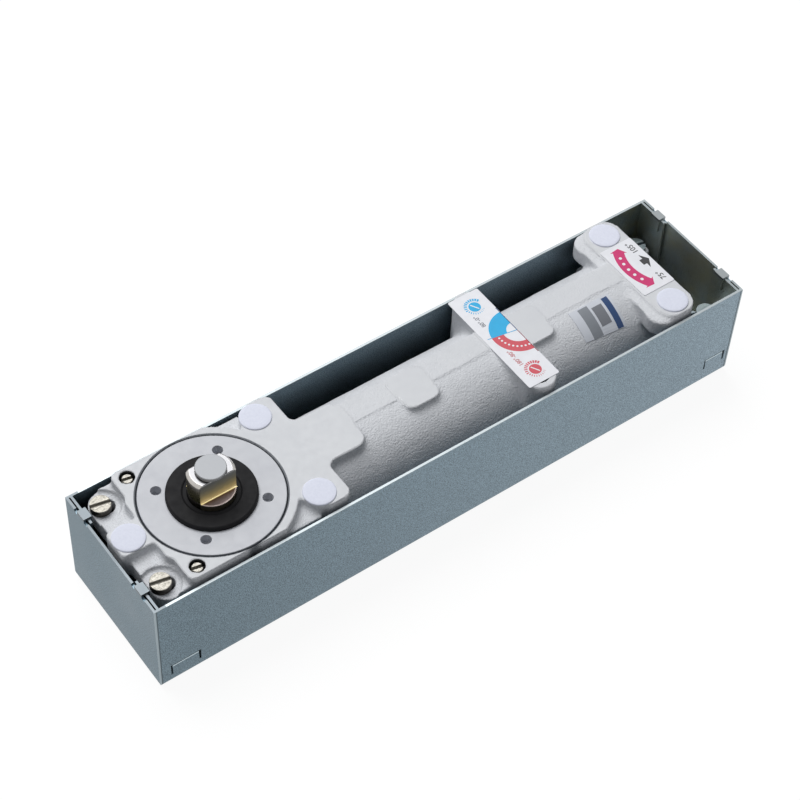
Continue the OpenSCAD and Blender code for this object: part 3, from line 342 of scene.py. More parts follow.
def screw_head(name, x, y, radius, top_z, low, high):
    """A slotted head with a bright worn top, a grey slot and painted shade down its sides."""
    s = Shader(name, Metallic=1.0)
    scratches = s.total(s.noise(420, 4, 0.7, (1, 7, 1)), s.noise(900, 3, 0.7))
    top = s.mix(s.span(scratches, 0.8, 1.2), low, high)
    off_axis = s.math("MINIMUM", s.radius(x, y), s.radius(x, -y))
    # Below the top: a grey slot near the axis, and painted shade on the sides further out
    at_side = s.rise(off_axis, radius - 0.5 * MM, 0.2 * MM)
    below = s.mix(at_side, linear(140, 138, 132), linear(74, 71, 66))
    metal = s.mix(s.fall(s.z, top_z - 0.8 * MM, 0.55 * MM), top, below)
    return s.finish(metal, s.span(scratches, 0.6, 1.4, 0.28, 0.5), scratches, 0.12 * MM)


def spindle_steel():
    """Ground steel with a straw, olive and violet tint, and painted reflection that grades it up the
    flats and sides.
    """
    s = Shader("spindle_steel", Metallic=1.0)
    off_axis = s.radius(SPINDLE_X, 0)
    up = s.span(s.z, DRIVE_LEDGE_Z, DRIVE_TOP_Z)
    level = s.total(up, s.product(s.math("SUBTRACT", s.noise(260, 3), 0.5), 0.22))

    # The two drive flats and the round sides between them, from the ledge upwards, with painted
    # reflection: bright gold low on the flats and dark above, lighter towards the top of the sides
    flat = s.ramp(level, [
        (0.0, linear(208, 186, 138)), (0.15, linear(160, 140, 95)), (0.38, linear(120, 109, 80)),
        (0.62, linear(96, 92, 79)), (0.85, linear(94, 94, 89)), (1.0, linear(112, 112, 110))])
    round_side = s.ramp(level, [
        (0.0, linear(146, 148, 106)), (0.3, linear(168, 164, 122)), (0.6, linear(164, 157, 134)),
        (0.8, linear(164, 158, 148)), (1.0, linear(198, 196, 194))])
    on_flat = s.rise(s.off_middle, DRIVE_FLAT_Y - 0.3 * MM, 0.2 * MM)
    film = s.mix(on_flat, round_side, flat)
    top_edge = s.product(on_flat, s.rise(s.z, DRIVE_TOP_Z - 0.55 * MM, 0.15 * MM))
    film = s.mix(top_edge, film, linear(178, 178, 176))

    # The ledge under the flats: brown by the flats, light at its edge; painted shade darkens the shaft
    # below it
    bronze = s.mottled(180, 2, linear(132, 120, 120), linear(166, 150, 150))
    by_flat = s.span(s.off_middle, 6.2 * MM, 8.4 * MM, 1, 0)
    bronze = s.mix(by_flat, bronze, linear(104, 78, 58))
    bronze = s.mix(s.rise(off_axis, 10.5 * MM, 0.3 * MM), bronze, linear(214, 200, 196))
    # Painted shade on the shaft below the ledge
    skirt = s.fall(s.z, DRIVE_LEDGE_Z - 0.6 * MM, 0.3 * MM)
    bronze = s.mix(skirt, bronze, linear(78, 74, 62))
    film = s.mix(s.fall(s.z, DRIVE_LEDGE_Z + 0.05 * MM, 0.1 * MM), film, bronze)

    # The top face, and the side and top of the centring disc
    top_face = s.product(s.rise(s.z, DRIVE_TOP_Z - 0.15 * MM, 0.1 * MM),
                         s.fall(off_axis, 9.5 * MM, 0.2 * MM))
    film = s.mix(top_face, film, linear(116, 116, 118))
    film = s.mix(s.rise(s.z, DRIVE_TOP_Z + 0.5 * MM, 0.2 * MM), film, linear(140, 141, 142))
    film = s.mix(s.rise(s.z, DISC_TOP_Z - 0.2 * MM, 0.1 * MM), film, linear(138, 140, 143))

    # The flats are duller than the sides, and bend their reflection like a worn face
    dull = s.product(on_flat, s.span(s.z, DRIVE_LEDGE_Z, DRIVE_TOP_Z, 0.5, 0.3))
    disc_rough = s.span(s.z, DRIVE_TOP_Z + 0.4 * MM, DRIVE_TOP_Z + 0.6 * MM, 0.25, 0.6)
    rough = s.math("MAXIMUM", dull, disc_rough)
    below_top = s.fall(s.z, DRIVE_TOP_Z, 0.2 * MM)
    hollow = s.math("SUBTRACT", s.product(up, up, 0.27), s.product(up, 0.66))
    grain = s.product(s.noise(800, 3, 0.6, (1, 1, 5)), 0.0012)
    height = s.total(s.product(hollow, on_flat, below_top), grain)
    return s.finish(film, rough, height, DRIVE_TOP_Z - DRIVE_LEDGE_Z)


# Rubber, foam and print
def shade(colour, factor):
    """A linear colour made lighter or darker."""
    red, green, blue, alpha = colour
    return (min(1, red * factor), min(1, green * factor), min(1, blue * factor), alpha)


def black_rubber():
    s = Shader("black_rubber", Specular_IOR_Level=0.12)
    black = linear(20, 20, 22)
    colour = s.mix(s.varied(90, 3), black, shade(black, 1.3))
    return s.finish(colour, s.varied(260, 3, 0.52, 0.66), s.noise(1500, 2), 0.02 * MM, 0.3)


def foam_pad():
    s = Shader("foam_pad")
    colour = s.mix(s.varied(900, 3), linear(223, 226, 240), linear(229, 232, 245))
    return s.finish(colour, 0.85, s.noise(2600, 3), 0.12 * MM, 0.5)


def print_film(name, colour, rough=0.4):
    """Printed film: one ink or the bare white, with a slight unevenness."""
    s = Shader(name)
    colour = s.mix(s.varied(200, 2), shade(colour, 0.94), colour)
    return s.finish(colour, rough, s.noise(180, 2), 0.02 * MM, 0.2)


MATERIAL = {
    "grey_paint": cast_paint(),
    "cover_paint": turned_paint(),
    "zinc_sheet": zinc_sheet(),
    "zinc_steel": plated_steel("zinc_steel", linear(150, 154, 156), linear(192, 195, 196), 0.3, 0.5),
    "rubber": black_rubber(),
    "bearing_steel": plated_steel("bearing_steel", linear(176, 176, 174), linear(206, 206, 203),
                                  0.16, 0.3),
    "spindle_steel": spindle_steel(),
    "piston_steel": plated_steel("piston_steel", linear(140, 141, 143), linear(170, 171, 172),
                                 0.28, 0.42),
    "spring_steel": plated_steel("spring_steel", linear(92, 94, 98), linear(122, 124, 128),
                                 0.3, 0.5),
    "screw_nickel": screw_head("screw_nickel", HEAD_SCREW_X, HEAD_SCREW_Y, 5 * MM, 60.9 * MM,
                               linear(100, 98, 92), linear(164, 161, 153)),
    "foam": foam_pad(),
    "label": print_film("label_white", linear(236, 237, 242)),
}
SET_SCREW = screw_head("set_screw", SET_SCREW_X, SET_SCREW_Y, 3 * MM, SET_SCREW_TOP_Z,
                       linear(116, 114, 108), linear(168, 165, 158))
TAIL_SCREW = plated_steel("tail_screw", linear(104, 114, 120), linear(146, 156, 161), 0.3, 0.5)
ROOT_STEEL = plated_steel("root_steel", linear(232, 208, 140), linear(255, 240, 190), 0.2, 0.3)
INK_COLOURS = {
    "blue": (0, 172, 226), "navy": (22, 60, 108), "red": (206, 74, 88), "dark_red": (128, 38, 52),
    "magenta": (204, 36, 108), "grey": (104, 108, 118), "grey_red": (190, 104, 108),
    "black": (34, 34, 38), "white": (240, 241, 244), "panel": (118, 121, 128), "band": (132, 137, 144),
}
INK = {name: print_film("ink_" + name, linear(*colour)) for name, colour in INK_COLOURS.items()}
INK["film"] = print_film("ink_film", linear(212, 216, 224), 0.3)


# Mesh helpers
def new_piece(name, mesh, body, material):
    piece = bpy.data.objects.new(name, mesh)
    bpy.context.scene.collection.objects.link(piece)
    mesh.materials.clear()
    mesh.materials.append(material)
    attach(piece, body)
    return piece


def closed_mesh(bm, name):
    """Turns the faces of a closed form outwards and makes a mesh of it."""
    bmesh.ops.recalc_face_normals(bm, faces=bm.faces)
    mesh = bpy.data.meshes.new(name)
    bm.to_mesh(mesh)
    bm.free()
    return mesh


def welded_copy(node):
    """A copy of a node's mesh with the vertices joined that lie in one place."""
    mesh = frame["nodes"][node].data.copy()
    bm = bmesh.new()
    bm.from_mesh(mesh)
    bmesh.ops.remove_doubles(bm, verts=bm.verts, dist=0.002 * MM)
    bm.to_mesh(mesh)
    bm.free()
    return mesh


def merge_flats(mesh):
    """Merges neighbouring faces that lie in one plane, so that a bevel finds only real edges."""
    bm = bmesh.new()
    bm.from_mesh(mesh)
    bmesh.ops.dissolve_limit(bm, angle_limit=math.radians(0.8), verts=bm.verts, edges=bm.edges)
    bm.to_mesh(mesh)
    bm.free()


def settle(piece):
    """Replaces a piece's mesh by what its modifiers make of it."""
    graph = bpy.context.evaluated_depsgraph_get()
    made = bpy.data.meshes.new_from_object(piece.evaluated_get(graph))
    piece.modifiers.clear()
    piece.data = made


def shade_smooth(mesh):
    mesh.polygons.foreach_set("use_smooth", [True] * len(mesh.polygons))


def smooth_by_angle(piece, degrees):
    """Smooth shading but for the edges where the surface turns by more than the angle."""
    shade_smooth(piece.data)
    bm = bmesh.new()
    bm.from_mesh(piece.data)
    for edge in bm.edges:
        edge.smooth = len(edge.link_faces) == 2 and edge.calc_face_angle(0) < math.radians(degrees)
    bm.to_mesh(piece.data)
    bm.free()


def bevelled(node, name, width, segments=2, material=None):
    """A copy of a node with its sharp edges broken, standing in for the node."""
    mesh = welded_copy(node)
    merge_flats(mesh)
    slot = SLOT_OF[node]
    piece = new_piece(name, mesh, BODY_OF[node], material or MATERIAL[slot])
    bevel = piece.modifiers.new("bevel", "BEVEL")
    bevel.width = width
    bevel.segments = segments
    bevel.limit_method = "ANGLE"
    bevel.angle_limit = math.radians(28)
    bevel.use_clamp_overlap = True
    settle(piece)
    smooth_by_angle(piece, 32)
    weighted = piece.modifiers.new("weighted", "WEIGHTED_NORMAL")
    weighted.keep_sharp = True
    settle(piece)
    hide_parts(node)
    return piece


def raise_tops(screws, from_z, to_z):
    """Lifts the slotted tops of screws to where the photograph has them."""
    slot_zone = 3 * MM
    for vertex in screws.data.vertices:
        if vertex.co.z > from_z - slot_zone:
            vertex.co.z += to_z - from_z


# Cast housing
VOXEL = 0.7 * MM
CAVITY_R = 26 * MM
CAVITY_START_X = -80 * MM
COVER_SEAT_R = 35 * MM
CROWN_Z = 58 * MM
CROWN_START_X = -40 * MM
CROWN_END_X = 124 * MM
RIDGE_EDGES_Y = (-1.5 * MM, 12 * MM)
RIDGE_EDGE_REACH = 1.6 * MM
FILL_PASSES, FILL_SHARE = 7, 0.9
BLEND_PASSES, BLEND_SHARE, BLEND_DEPTH = 10, 0.6, 0.12 * MM
SOFTEN_PASSES, SOFTEN_SHARE, KEPT_SHARE = 3, 0.6, 0.1
# Lumps to the metre and height of the casting's uneven skin
LUMPS = ((90, 0.12 * MM), (330, 0.05 * MM))
# Where screws and valves go through, on both sides: place along, place across, reach
HOLES = (
    (HEAD_SCREW_X, HEAD_SCREW_Y, 11 * MM),
    (SET_SCREW_X, SET_SCREW_Y, 5 * MM),
    (VALVE_LABEL_X, 27 * MM, 6 * MM),
    (149.5 * MM, 27.5 * MM, 6 * MM),
    (159 * MM, 27.5 * MM, 7 * MM),
)


def read_points(mesh):
    points = np.zeros(len(mesh.vertices) * 3)
    mesh.vertices.foreach_get("co", points)
    return points.reshape(-1, 3)


def write_points(mesh, points):
    mesh.vertices.foreach_set("co", points.ravel())
    mesh.update()


def read_normals(mesh):
    normals = np.zeros(len(mesh.vertices) * 3)
    mesh.vertex_normals.foreach_get("vector", normals)
    return normals.reshape(-1, 3)


def read_edges(mesh):
    edges = np.zeros(len(mesh.edges) * 2, dtype=np.int64)
    mesh.edges.foreach_get("vertices", edges)
    return edges.reshape(-1, 2)


def near_axis(points, x, y, radius):
    return (points[:, 0] - x) ** 2 + (points[:, 1] - y) ** 2 < radius ** 2


def pull_to_neighbours(points, edges, count):
    """From each point to the mean of the points that share an edge with it."""
    total = np.zeros_like(points)
    for axis in range(3):
        total[:, axis] = (np.bincount(edges[:, 0], points[edges[:, 1], axis], len(points))
                          + np.bincount(edges[:, 1], points[edges[:, 0], axis], len(points)))
    return total / count[:, None] - points


def cast_housing():
    """The casting, remeshed for soft edges, fillets in its inner corners and an uneven skin."""
    cast = welded_copy("cast_body")
    piece = new_piece("housing", cast, "closer", MATERIAL["grey_paint"])
    remesh = piece.modifiers.new("remesh", "REMESH")
    remesh.mode = "VOXEL"
    remesh.voxel_size = VOXEL * 1
    settle(piece)
    mesh = piece.data
    points = read_points(mesh)
    edges = read_edges(mesh)
    count = np.bincount(edges.ravel(), minlength=len(points)).astype(float)

    # The zones that keep their shape
    x, y, z = points.T.copy()
    cavity = (np.hypot(y, z - AXIS_Z) < CAVITY_R) & (x > CAVITY_START_X)
    kept = cavity | near_axis(points, SPINDLE_X, 0, COVER_SEAT_R)
    for side in (-1, 1):
        for hole_x, hole_y, reach in HOLES:
            kept |= near_axis(points, hole_x, side * hole_y, reach)
    machined = z > FLAT_Z - 0.35 * MM
    on_crown = (z > CROWN_Z) & (x > CROWN_START_X) & (x < CROWN_END_X)
    fixed = kept | machined
    for ridge_y in RIDGE_EDGES_Y:
        fixed |= on_crown & (abs(y - ridge_y) < RIDGE_EDGE_REACH)

    # Inner corners are filled up step by step, then their fillets are blended
    cast_shape = points.copy()
    for _ in range(FILL_PASSES):
        normals = read_normals(mesh)
        outward = np.maximum((pull_to_neighbours(points, edges, count) * normals).sum(1), 0)
        outward[fixed] = 0
        points += normals * outward[:, None] * FILL_SHARE
        write_points(mesh, points)
    moved = np.linalg.norm(points - cast_shape, axis=1)
    filled = np.clip(moved / BLEND_DEPTH, 0, 1) * BLEND_SHARE
    for _ in range(BLEND_PASSES):
        points += pull_to_neighbours(points, edges, count) * filled[:, None]

    # All edges are softened, and the machined flats stay level
    soft = np.where(kept, KEPT_SHARE, SOFTEN_SHARE)
    for _ in range(SOFTEN_PASSES):
        pull = pull_to_neighbours(points, edges, count) * soft[:, None]
        pull[machined, 2] = 0
        points += pull
    points[machined, 2] = FLAT_Z
    write_points(mesh, points)

    # The rough skin gets low lumps
    normals = read_normals(mesh)
    lumps = np.zeros(len(points))
    for index in np.flatnonzero(~(kept | machined)):
        spot = Vector(points[index])
        lumps[index] = sum(noise.noise(spot * scale) * height for scale, height in LUMPS)
    points += normals * lumps[:, None]
    points[:, 2] = np.minimum(points[:, 2], FLAT_Z)
    write_points(mesh, points)
    shade_smooth(mesh)
    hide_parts("cast_body")


# Spindle
def spindle_roots():
    """The small hollow fillets where the two drive flats run out on the ledge."""
    reach, radius, sunk, steps = 9.4 * MM, 0.6 * MM, 0.1 * MM, 6
    quarter = [math.pi / 2 * k / steps for k in range(steps + 1)]
    section = [(DRIVE_FLAT_Y + radius * (1 - math.sin(turn)),
                DRIVE_LEDGE_Z + radius * (1 - math.cos(turn))) for turn in quarter]
    section.append((DRIVE_FLAT_Y - sunk, DRIVE_LEDGE_Z - sunk))
    bm = bmesh.new()
    for side in (-1, 1):
        near, far = ([bm.verts.new((SPINDLE_X + x, side * y, z)) for y, z in section]
                     for x in (-reach, reach))
        for k in range(len(section)):
            n = (k + 1) % len(section)
            bm.faces.new((near[k], near[n], far[n], far[k]))
        bm.faces.new(near)
        bm.faces.new(far)
    mesh = closed_mesh(bm, "spindle_roots")
    piece = new_piece("spindle_roots", mesh, BODY_OF["spindle"], ROOT_STEEL)
    smooth_by_angle(piece, 40)


# Outlines of print, in millimetres
def label_point(cx, cy, radius, angle):
    """A point round a centre. The angle in degrees runs from +Y (0) through -X (90) to -Y (180)."""
    return (cx - radius * math.sin(math.radians(angle)), cy + radius * math.cos(math.radians(angle)))


def ring_part(cx, cy, r0, r1, a0, a1, steps=40):
    """A ring sector, with its angles as in label_point."""
    angles = [a0 + (a1 - a0) * k / steps for k in range(steps + 1)]
    outer = [label_point(cx, cy, r1, angle) for angle in angles]
    return outer + [label_point(cx, cy, r0, angle) for angle in reversed(angles)]


def disc(cx, cy, r, steps=32):
    turns = [2 * math.pi * k / steps for k in range(steps)]
    return [(cx + r * math.cos(turn), cy + r * math.sin(turn)) for turn in turns]


def bar(x0, y0, x1, y1, width):
    """A straight line of the given width."""
    dx, dy = x1 - x0, y1 - y0
    length = math.hypot(dx, dy)
    nx, ny = -dy / length * width / 2, dx / length * width / 2
    return [(x0 + nx, y0 + ny), (x1 + nx, y1 + ny), (x1 - nx, y1 - ny), (x0 - nx, y0 - ny)]


def rounded_card(x0, y0, x1, y1, r=0.8, steps=6):
    corners = ((x1 - r, y1 - r, 0), (x0 + r, y1 - r, 90), (x0 + r, y0 + r, 180), (x1 - r, y0 + r, 270))
    outline = []
    for cx, cy, start in corners:
        turns = [math.radians(start + 90 * k / steps) for k in range(steps + 1)]
        outline += [(cx + r * math.cos(turn), cy + r * math.sin(turn)) for turn in turns]
    return outline


# Labels
def prism_mesh(name, outlines, z0, z1):
    """Flat shapes, each one outline of (x, y) points in millimetres, as one thin solid mesh."""
    bm = bmesh.new()
    for outline in outlines:
        low = [bm.verts.new((x * MM, y * MM, z0)) for x, y in outline]
        high = [bm.verts.new((x * MM, y * MM, z1)) for x, y in outline]
        bm.faces.new(high)
        bm.faces.new(low[::-1])
        for i in range(len(outline)):
            j = (i + 1) % len(outline)
            bm.faces.new((low[i], low[j], high[j], high[i]))
    return closed_mesh(bm, name)


def ink(name, colour, outlines, level=1):
    """A printed shape, a few hundredths of a millimetre proud of its label."""
    mesh = prism_mesh(name, outlines, LABEL_TOP - 0.02 * MM, LABEL_TOP + 0.03 * MM * level)
    return new_piece(name, mesh, "closer", INK[colour])


def label_card(node, name):
    """The white card of a flat label. Gives its low and high corners in millimetres."""
    low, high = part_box(node)
    x0, y0, x1, y1 = low.x / MM, low.y / MM, high.x / MM, high.y / MM
    mesh = prism_mesh(name, [rounded_card(x0, y0, x1, y1)], low.z, LABEL_TOP)
    piece = new_piece(name, mesh, "closer", MATERIAL["label"])
    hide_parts(node)
    return x0, y0, x1, y1


def printed_number(name, text, colour, x, y, height):
    """A plain scale number, upright for someone who stands at the tail."""
    curve = bpy.data.curves.new(name, "FONT")
    curve.body = text
    curve.size = height * MM * 1.4
    curve.align_x = "CENTER"
    curve.align_y = "CENTER"
    curve.extrude = 0.025 * MM
    curve.offset = 0.04 * MM
    curve.resolution_u = 6
    source = bpy.data.objects.new(name + "_curve", curve)
    bpy.context.scene.collection.objects.link(source)
    bpy.context.view_layer.update()
    graph = bpy.context.evaluated_depsgraph_get()
    mesh = bpy.data.meshes.new_from_object(source.evaluated_get(graph))
    bpy.data.objects.remove(source)
    quarter_turn = Matrix((
        (0, -1, 0, x * MM), (1, 0, 0, y * MM), (0, 0, 1, LABEL_TOP + 0.01 * MM), (0, 0, 0, 1)))
    mesh.transform(quarter_turn)
    return new_piece(name, mesh, "closer", INK[colour])


def speed_dial(name, colour, x, y):
    """One valve's dial: a slotted disc in a ring of marks that grow finer."""
    dial_r, slot_reach, slot_angle, slot_w = 3.1, 2.4, math.radians(60), 0.6
    dx, dy = slot_reach * math.cos(slot_angle), -slot_reach * math.sin(slot_angle)
    ink(f"print_dial_{name}", colour, [disc(x, y, dial_r)])
    ink(f"print_dial_slot_{name}", "white", [bar(x - dx, y - dy, x + dx, y + dy, slot_w)], 2)
    marks, long_marks, first_angle, pitch = 20, 11, -61, 15
    mark_foot_r, short_r, long_r = 3.8, 4.9, 5.4
    ticks = []
    for k in range(marks):
        start = first_angle + k * pitch
        tip_r = long_r if k < long_marks else short_r
        ticks.append(ring_part(x, y, mark_foot_r, tip_r, start, start + 11.5 - 0.5 * k, 3))
    ink(f"print_dial_ticks_{name}", colour, ticks)


def valve_label():
    """Two speed zones of the door's swing, a dial for each valve and the angles of each zone."""
    x0, y0, x1, y1 = label_card("valve_label", "valve_card")
    cx, cy = x1 - 0.3, (y0 + y1) / 2
    zone_r, dots_r, border, line_w = 13.8, 10.6, 80, 0.35
    ink("print_fast_zone", "blue", [ring_part(cx, cy, 5.2, zone_r, 0, border - 1)])
    ink("print_slow_zone", "red", [ring_part(cx, cy, 7.4, zone_r, border + 1, 180)])
    dots = [disc(*label_point(cx, cy, dots_r, angle), 0.55, 16) for angle in range(88, 180, 11)]
    ink("print_slow_dots", "white", dots, 2)
    ink("print_divider", "blue", [bar(cx, cy, *label_point(cx, cy, 16, border), line_w)], 2)
    ink("print_edge_closing", "navy", [bar(cx, cy, cx, cy + 17, line_w)], 3)
    ink("print_edge_opening", "dark_red", [bar(cx, cy, cx, cy - 16.5, line_w)], 3)
    speed_dial("fast", "blue", x0 + 9.6, cy + 23.2)
    speed_dial("slow", "red", x0 + 9.6, cy - 24.6)
    printed_number("print_range_fast", "80°-0°", "grey", x0 + 5.9, cy + 14.2, 2.2)
    printed_number("print_range_slow", "180°-80°", "grey_red", x0 + 5.9, cy - 13.9, 2.2)


def hold_open_label():
    """A curved double arrow from 75 to 105 degrees, and an arrow that points at the adjuster."""
    x0, y0, x1, y1 = label_card("hold_open_label", "hold_card")
    cx, cy = x1 + 9.75, (y0 + y1) / 2 + 0.3
    start, end = 61.3, 119.4
    inner_r, middle_r, outer_r = 20.2, 24.6, 28.7
    sweep = ring_part(cx, cy, 21.6, 27.3, start, end)
    first_head = [label_point(cx, cy, outer_r, start), label_point(cx, cy, inner_r, start),
                  label_point(cx, cy, middle_r, start - 6.9)]
    last_head = [label_point(cx, cy, inner_r, end), label_point(cx, cy, outer_r, end),
                 label_point(cx, cy, middle_r, end + 6.3)]
    ink("print_hold_arrow", "magenta", [sweep, first_head, last_head])
    dots_r, dot_angles = 24.5, (70, 79.5, 89.5, 99.7, 110)
    dots = [disc(*label_point(cx, cy, dots_r, angle), 0.85, 16) for angle in dot_angles]
    ink("print_hold_dots", "white", dots, 2)
    arrow_x, arrow_y = x0 + 13.25, cy + 0.35
    arrow = ((0, -1.85), (2, -1.85), (1.9, -4.95), (5, 0.25), (1.9, 4.95), (2, 1.85), (0, 1.85))
    ink("print_turn_arrow", "black", [[(arrow_x + x, arrow_y + y) for x, y in arrow]])
    printed_number("print_hold_105", "105°", "black", x0 + 15.75, cy + 10.8, 3.0)
    printed_number("print_hold_75", "75°", "black", x0 + 16.05, cy - 11.4, 3.0)


def tube_zone(name, colour, x0, x1, start, end_at_x0, end_at_x1, lift):
    """A thin curved patch on the tube, from an angle off the crown to one at each of its ends."""
    steps = 12
    bm = bmesh.new()
    rows = []
    for k in range(steps + 1):
        row = []
        for x, end in ((x0, end_at_x0), (x1, end_at_x1)):
            turn = math.radians(start + (end - start) * k / steps)
            for r in (TUBE_R + 0.05 * MM, TUBE_R + lift):
                row.append(bm.verts.new((x, -r * math.sin(turn), AXIS_Z + r * math.cos(turn))))
        rows.append(row)
    for first, second in zip(rows, rows[1:]):
        for i, j in ((0, 1), (1, 3), (3, 2), (2, 0)):
            bm.faces.new((first[i], first[j], second[j], second[i]))
    for row in (rows[0], rows[-1]):
        bm.faces.new((row[0], row[1], row[3], row[2]))
    return new_piece(name, closed_mesh(bm, name), "closer", INK[colour])


def rating_label():
    """The curved label on the tube. Its print is left off but for a plain strip, band and panel."""
    low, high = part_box("rating_label")
    card = tube_zone("rating_card", "film", low.x + 2.5 * MM, high.x, 8, 41, 45.5, 0.3 * MM)
    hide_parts("rating_label")
    zones = (
        ("strip", "navy", high.x - 5 * MM, high.x - 1.5 * MM, 10, 44.3, 44.6, 0.34 * MM),
        ("panel", "panel", low.x + 14.5 * MM, low.x + 20.5 * MM, 14, 35, 35, 0.33 * MM),
        ("band", "band", low.x + 7.4 * MM, low.x + 13.2 * MM, 9.5, 41.8, 42.6, 0.33 * MM),
    )
    for name, *zone in zones:
        tube_zone("print_rating_" + name, *zone)


# Foam pads
PAD_SIDE_Y = 26.3 * MM
PAD_PLACES = (
    (-160 * MM, 0.0),
    (-76 * MM, PAD_SIDE_Y), (-76 * MM, -PAD_SIDE_Y),
    (TAIL_BAR_X, PAD_SIDE_Y), (TAIL_BAR_X, -PAD_SIDE_Y),
)
# Radius and height of the pad's profile in millimetres, from the crown down to the foot
PAD_PROFILE = ((3, 0.8), (5.8, 0.79), (7.2, 0.74), (7.6, 0.63), (7.78, 0.42), (7.8, 0.0))
PAD_STEPS = 48


def pad_mesh(name, x, y):
    """A turned pad that stands on the machined flats."""
    turns = [2 * math.pi * k / PAD_STEPS for k in range(PAD_STEPS)]
    bm = bmesh.new()
    crown = bm.verts.new((x, y, FLAT_Z + PAD_PROFILE[0][1] * MM))
    rings = []
    for r, z in PAD_PROFILE:
        circle = [(x + r * MM * math.cos(turn), y + r * MM * math.sin(turn)) for turn in turns]
        rings.append([bm.verts.new((*point, FLAT_Z + z * MM)) for point in circle])
    foot = bm.verts.new((x, y, FLAT_Z))
    for k in range(PAD_STEPS):
        n = (k + 1) % PAD_STEPS
        bm.faces.new((crown, rings[0][k], rings[0][n]))
        for upper, lower in zip(rings, rings[1:]):
            bm.faces.new((upper[k], lower[k], lower[n], upper[n]))
        bm.faces.new((rings[-1][k], foot, rings[-1][n]))
    return closed_mesh(bm, name)


def foam_pads():
    """Five round foam pads with soft, slightly crowned tops."""
    for index, (x, y) in enumerate(PAD_PLACES):
        name = f"pad_{index}"
        piece = new_piece(name, pad_mesh(name, x, y), "closer", MATERIAL["foam"])
        smooth_by_angle(piece, 50)
        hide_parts("cover_pads")


# Light, floor and camera
def white_to_camera(tree, shaded, white):
    """Mixes a white that only the camera, reflections and clear materials see over the surface."""
    def combine(operation, first, second):
        node = tree.nodes.new("ShaderNodeMath")
        node.operation = operation
        tree.links.new(first, node.inputs[0])
        if isinstance(second, float):
            node.inputs[1].default_value = second
        else:
            tree.links.new(second, node.inputs[1])
        return node.outputs[0]

    ray = tree.nodes.new("ShaderNodeLightPath").outputs
    not_lit = combine("LESS_THAN", ray["Diffuse Depth"], 0.5)
    mirrored = combine("MULTIPLY", ray["Is Glossy Ray"], not_lit)
    seen = combine("MAXIMUM", ray["Is Camera Ray"], mirrored)
    seen = combine("MAXIMUM", seen, ray["Is Transmission Ray"])
    mix = tree.nodes.new("ShaderNodeMixShader")
    for slot, source in zip(mix.inputs, (seen, shaded, white)):
        tree.links.new(source, slot)
    return mix.outputs[0]


def make_world():
    world = bpy.data.worlds.new("studio")
    bpy.context.scene.world = world
    world.use_nodes = True
    tree = world.node_tree
    tree.nodes.clear()
    fill = tree.nodes.new("ShaderNodeBackground")
    fill.inputs["Color"].default_value = (0.93, 0.96, 1, 1)
    fill.inputs["Strength"].default_value = 0.24
    white = tree.nodes.new("ShaderNodeBackground")
    white.inputs["Color"].default_value = (1, 1, 1, 1)
    out = tree.nodes.new("ShaderNodeOutputWorld")
    tree.links.new(white_to_camera(tree, fill.outputs[0], white.outputs[0]), out.inputs[0])


def floor_material():
    """White to the camera, grey to the light that the floor throws back on the object."""
    s = Shader("floor_white")
    s.tree.nodes.remove(s.surface)
    lit, shadow = s.node("BsdfDiffuse"), s.node("BsdfDiffuse")
    lit.inputs["Color"].default_value = (0.78, 0.78, 0.78, 1)
    shadow.inputs["Color"].default_value = (0.11, 0.11, 0.11, 1)
    glow = s.node("Emission")
    glow.inputs["Strength"].default_value = 0.93
    white = s.node("AddShader")
    s.feed(white.inputs[0], shadow.outputs[0])
    s.feed(white.inputs[1], glow.outputs[0])
    s.feed(s.output.inputs[0], white_to_camera(s.tree, lit.outputs[0], white.outputs[0]))
    return s.material


def make_floor():
    reach = 6000
    square = [(-reach, -reach), (reach, -reach), (reach, reach), (-reach, reach)]
    mesh = prism_mesh("floor", [square], -2 * MM, -0.02 * MM)
    mesh.materials.append(floor_material())
    floor = bpy.data.objects.new("floor", mesh)
    bpy.context.scene.collection.objects.link(floor)


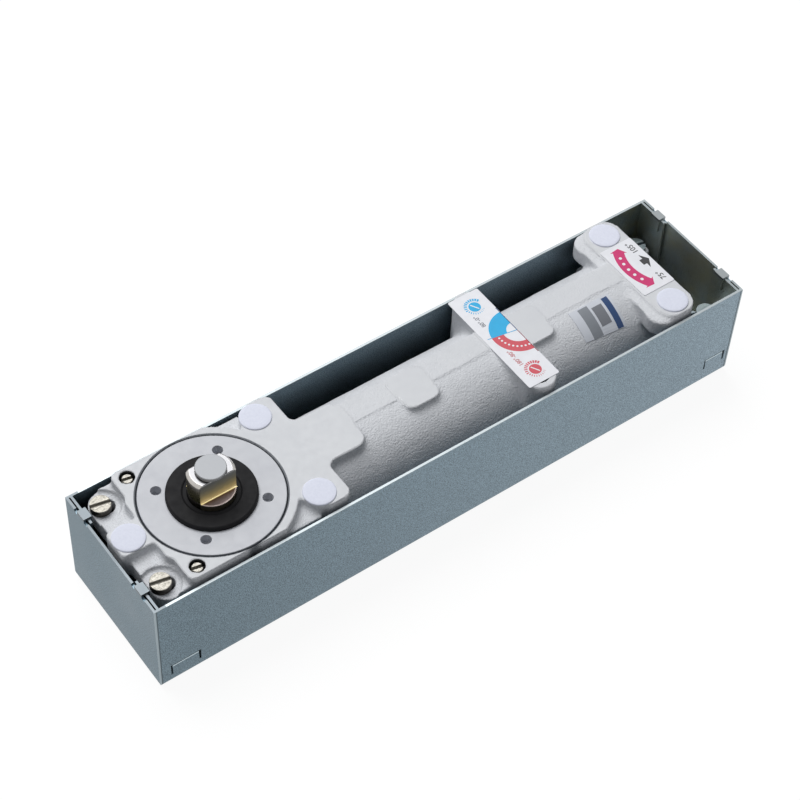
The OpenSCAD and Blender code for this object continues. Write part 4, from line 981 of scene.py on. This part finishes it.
def area_light(name, place, target, size, power):
    light = bpy.data.lights.new(name, "AREA")
    light.shape = "RECTANGLE"
    light.size, light.size_y = size
    light.energy = power
    lamp = bpy.data.objects.new(name, light)
    bpy.context.scene.collection.objects.link(lamp)
    lamp.location = place
    lamp.rotation_euler = (Vector(target) - Vector(place)).to_track_quat("-Z", "Y").to_euler()


def make_camera():
    """The photograph's camera, solved from the edges of the box and from the round cover."""
    right, up, back = (
        (0.80991, -0.58535, 0.03756), (0.43086, 0.63717, 0.63904), (-0.39799, -0.50138, 0.76826))
    place = (-0.4073, -0.4980, 0.8226)
    data = bpy.data.cameras.new("camera")
    data.lens = 95
    data.sensor_width = 36
    data.clip_end = 50
    camera = bpy.data.objects.new("camera", data)
    bpy.context.scene.collection.objects.link(camera)
    camera.matrix_world = Matrix((*zip(right, up, back, place), (0, 0, 0, 1)))
    bpy.context.scene.camera = camera


# The scene
bpy.context.scene.view_settings.view_transform = "Standard"
make_world()
make_floor()
area_light("key", (-0.05, 0.75, 1.5), (0, 0, 0.04), (1.4, 1.1), 24)
make_camera()

for name, part in frame["nodes"].items():
    part.data.materials.clear()
    part.data.materials.append(MATERIAL[SLOT_OF[name]])

cast_housing()
bevelled("cement_box", "sheet_box", 0.35 * MM)
bevelled("bearing_cover", "cover_plate", 0.25 * MM)
bevelled("shaft_seal", "seal", 0.3 * MM, 3)
bevelled("spindle", "drive_spindle", 0.35 * MM, 3)
spindle_roots()
bevelled("head_fixing_screws", "head_cheese_screws", 0.4 * MM, 3)
bevelled("tail_fixing_screws", "tail_cheese_screws", 0.4 * MM, 3, TAIL_SCREW)
raise_tops(bevelled("head_levelling_screws", "head_set_screws", 0.15 * MM, 2, SET_SCREW),
           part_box("head_levelling_screws")[1].z, SET_SCREW_TOP_Z)
bevelled("tail_levelling_screws", "tail_set_screws", 0.15 * MM, 2, TAIL_SCREW)
bevelled("end_plug", "plug", 0.4 * MM)
bevelled("hold_open_adjuster", "adjuster", 0.3 * MM)
valve_label()
hold_open_label()
rating_label()
foam_pads()
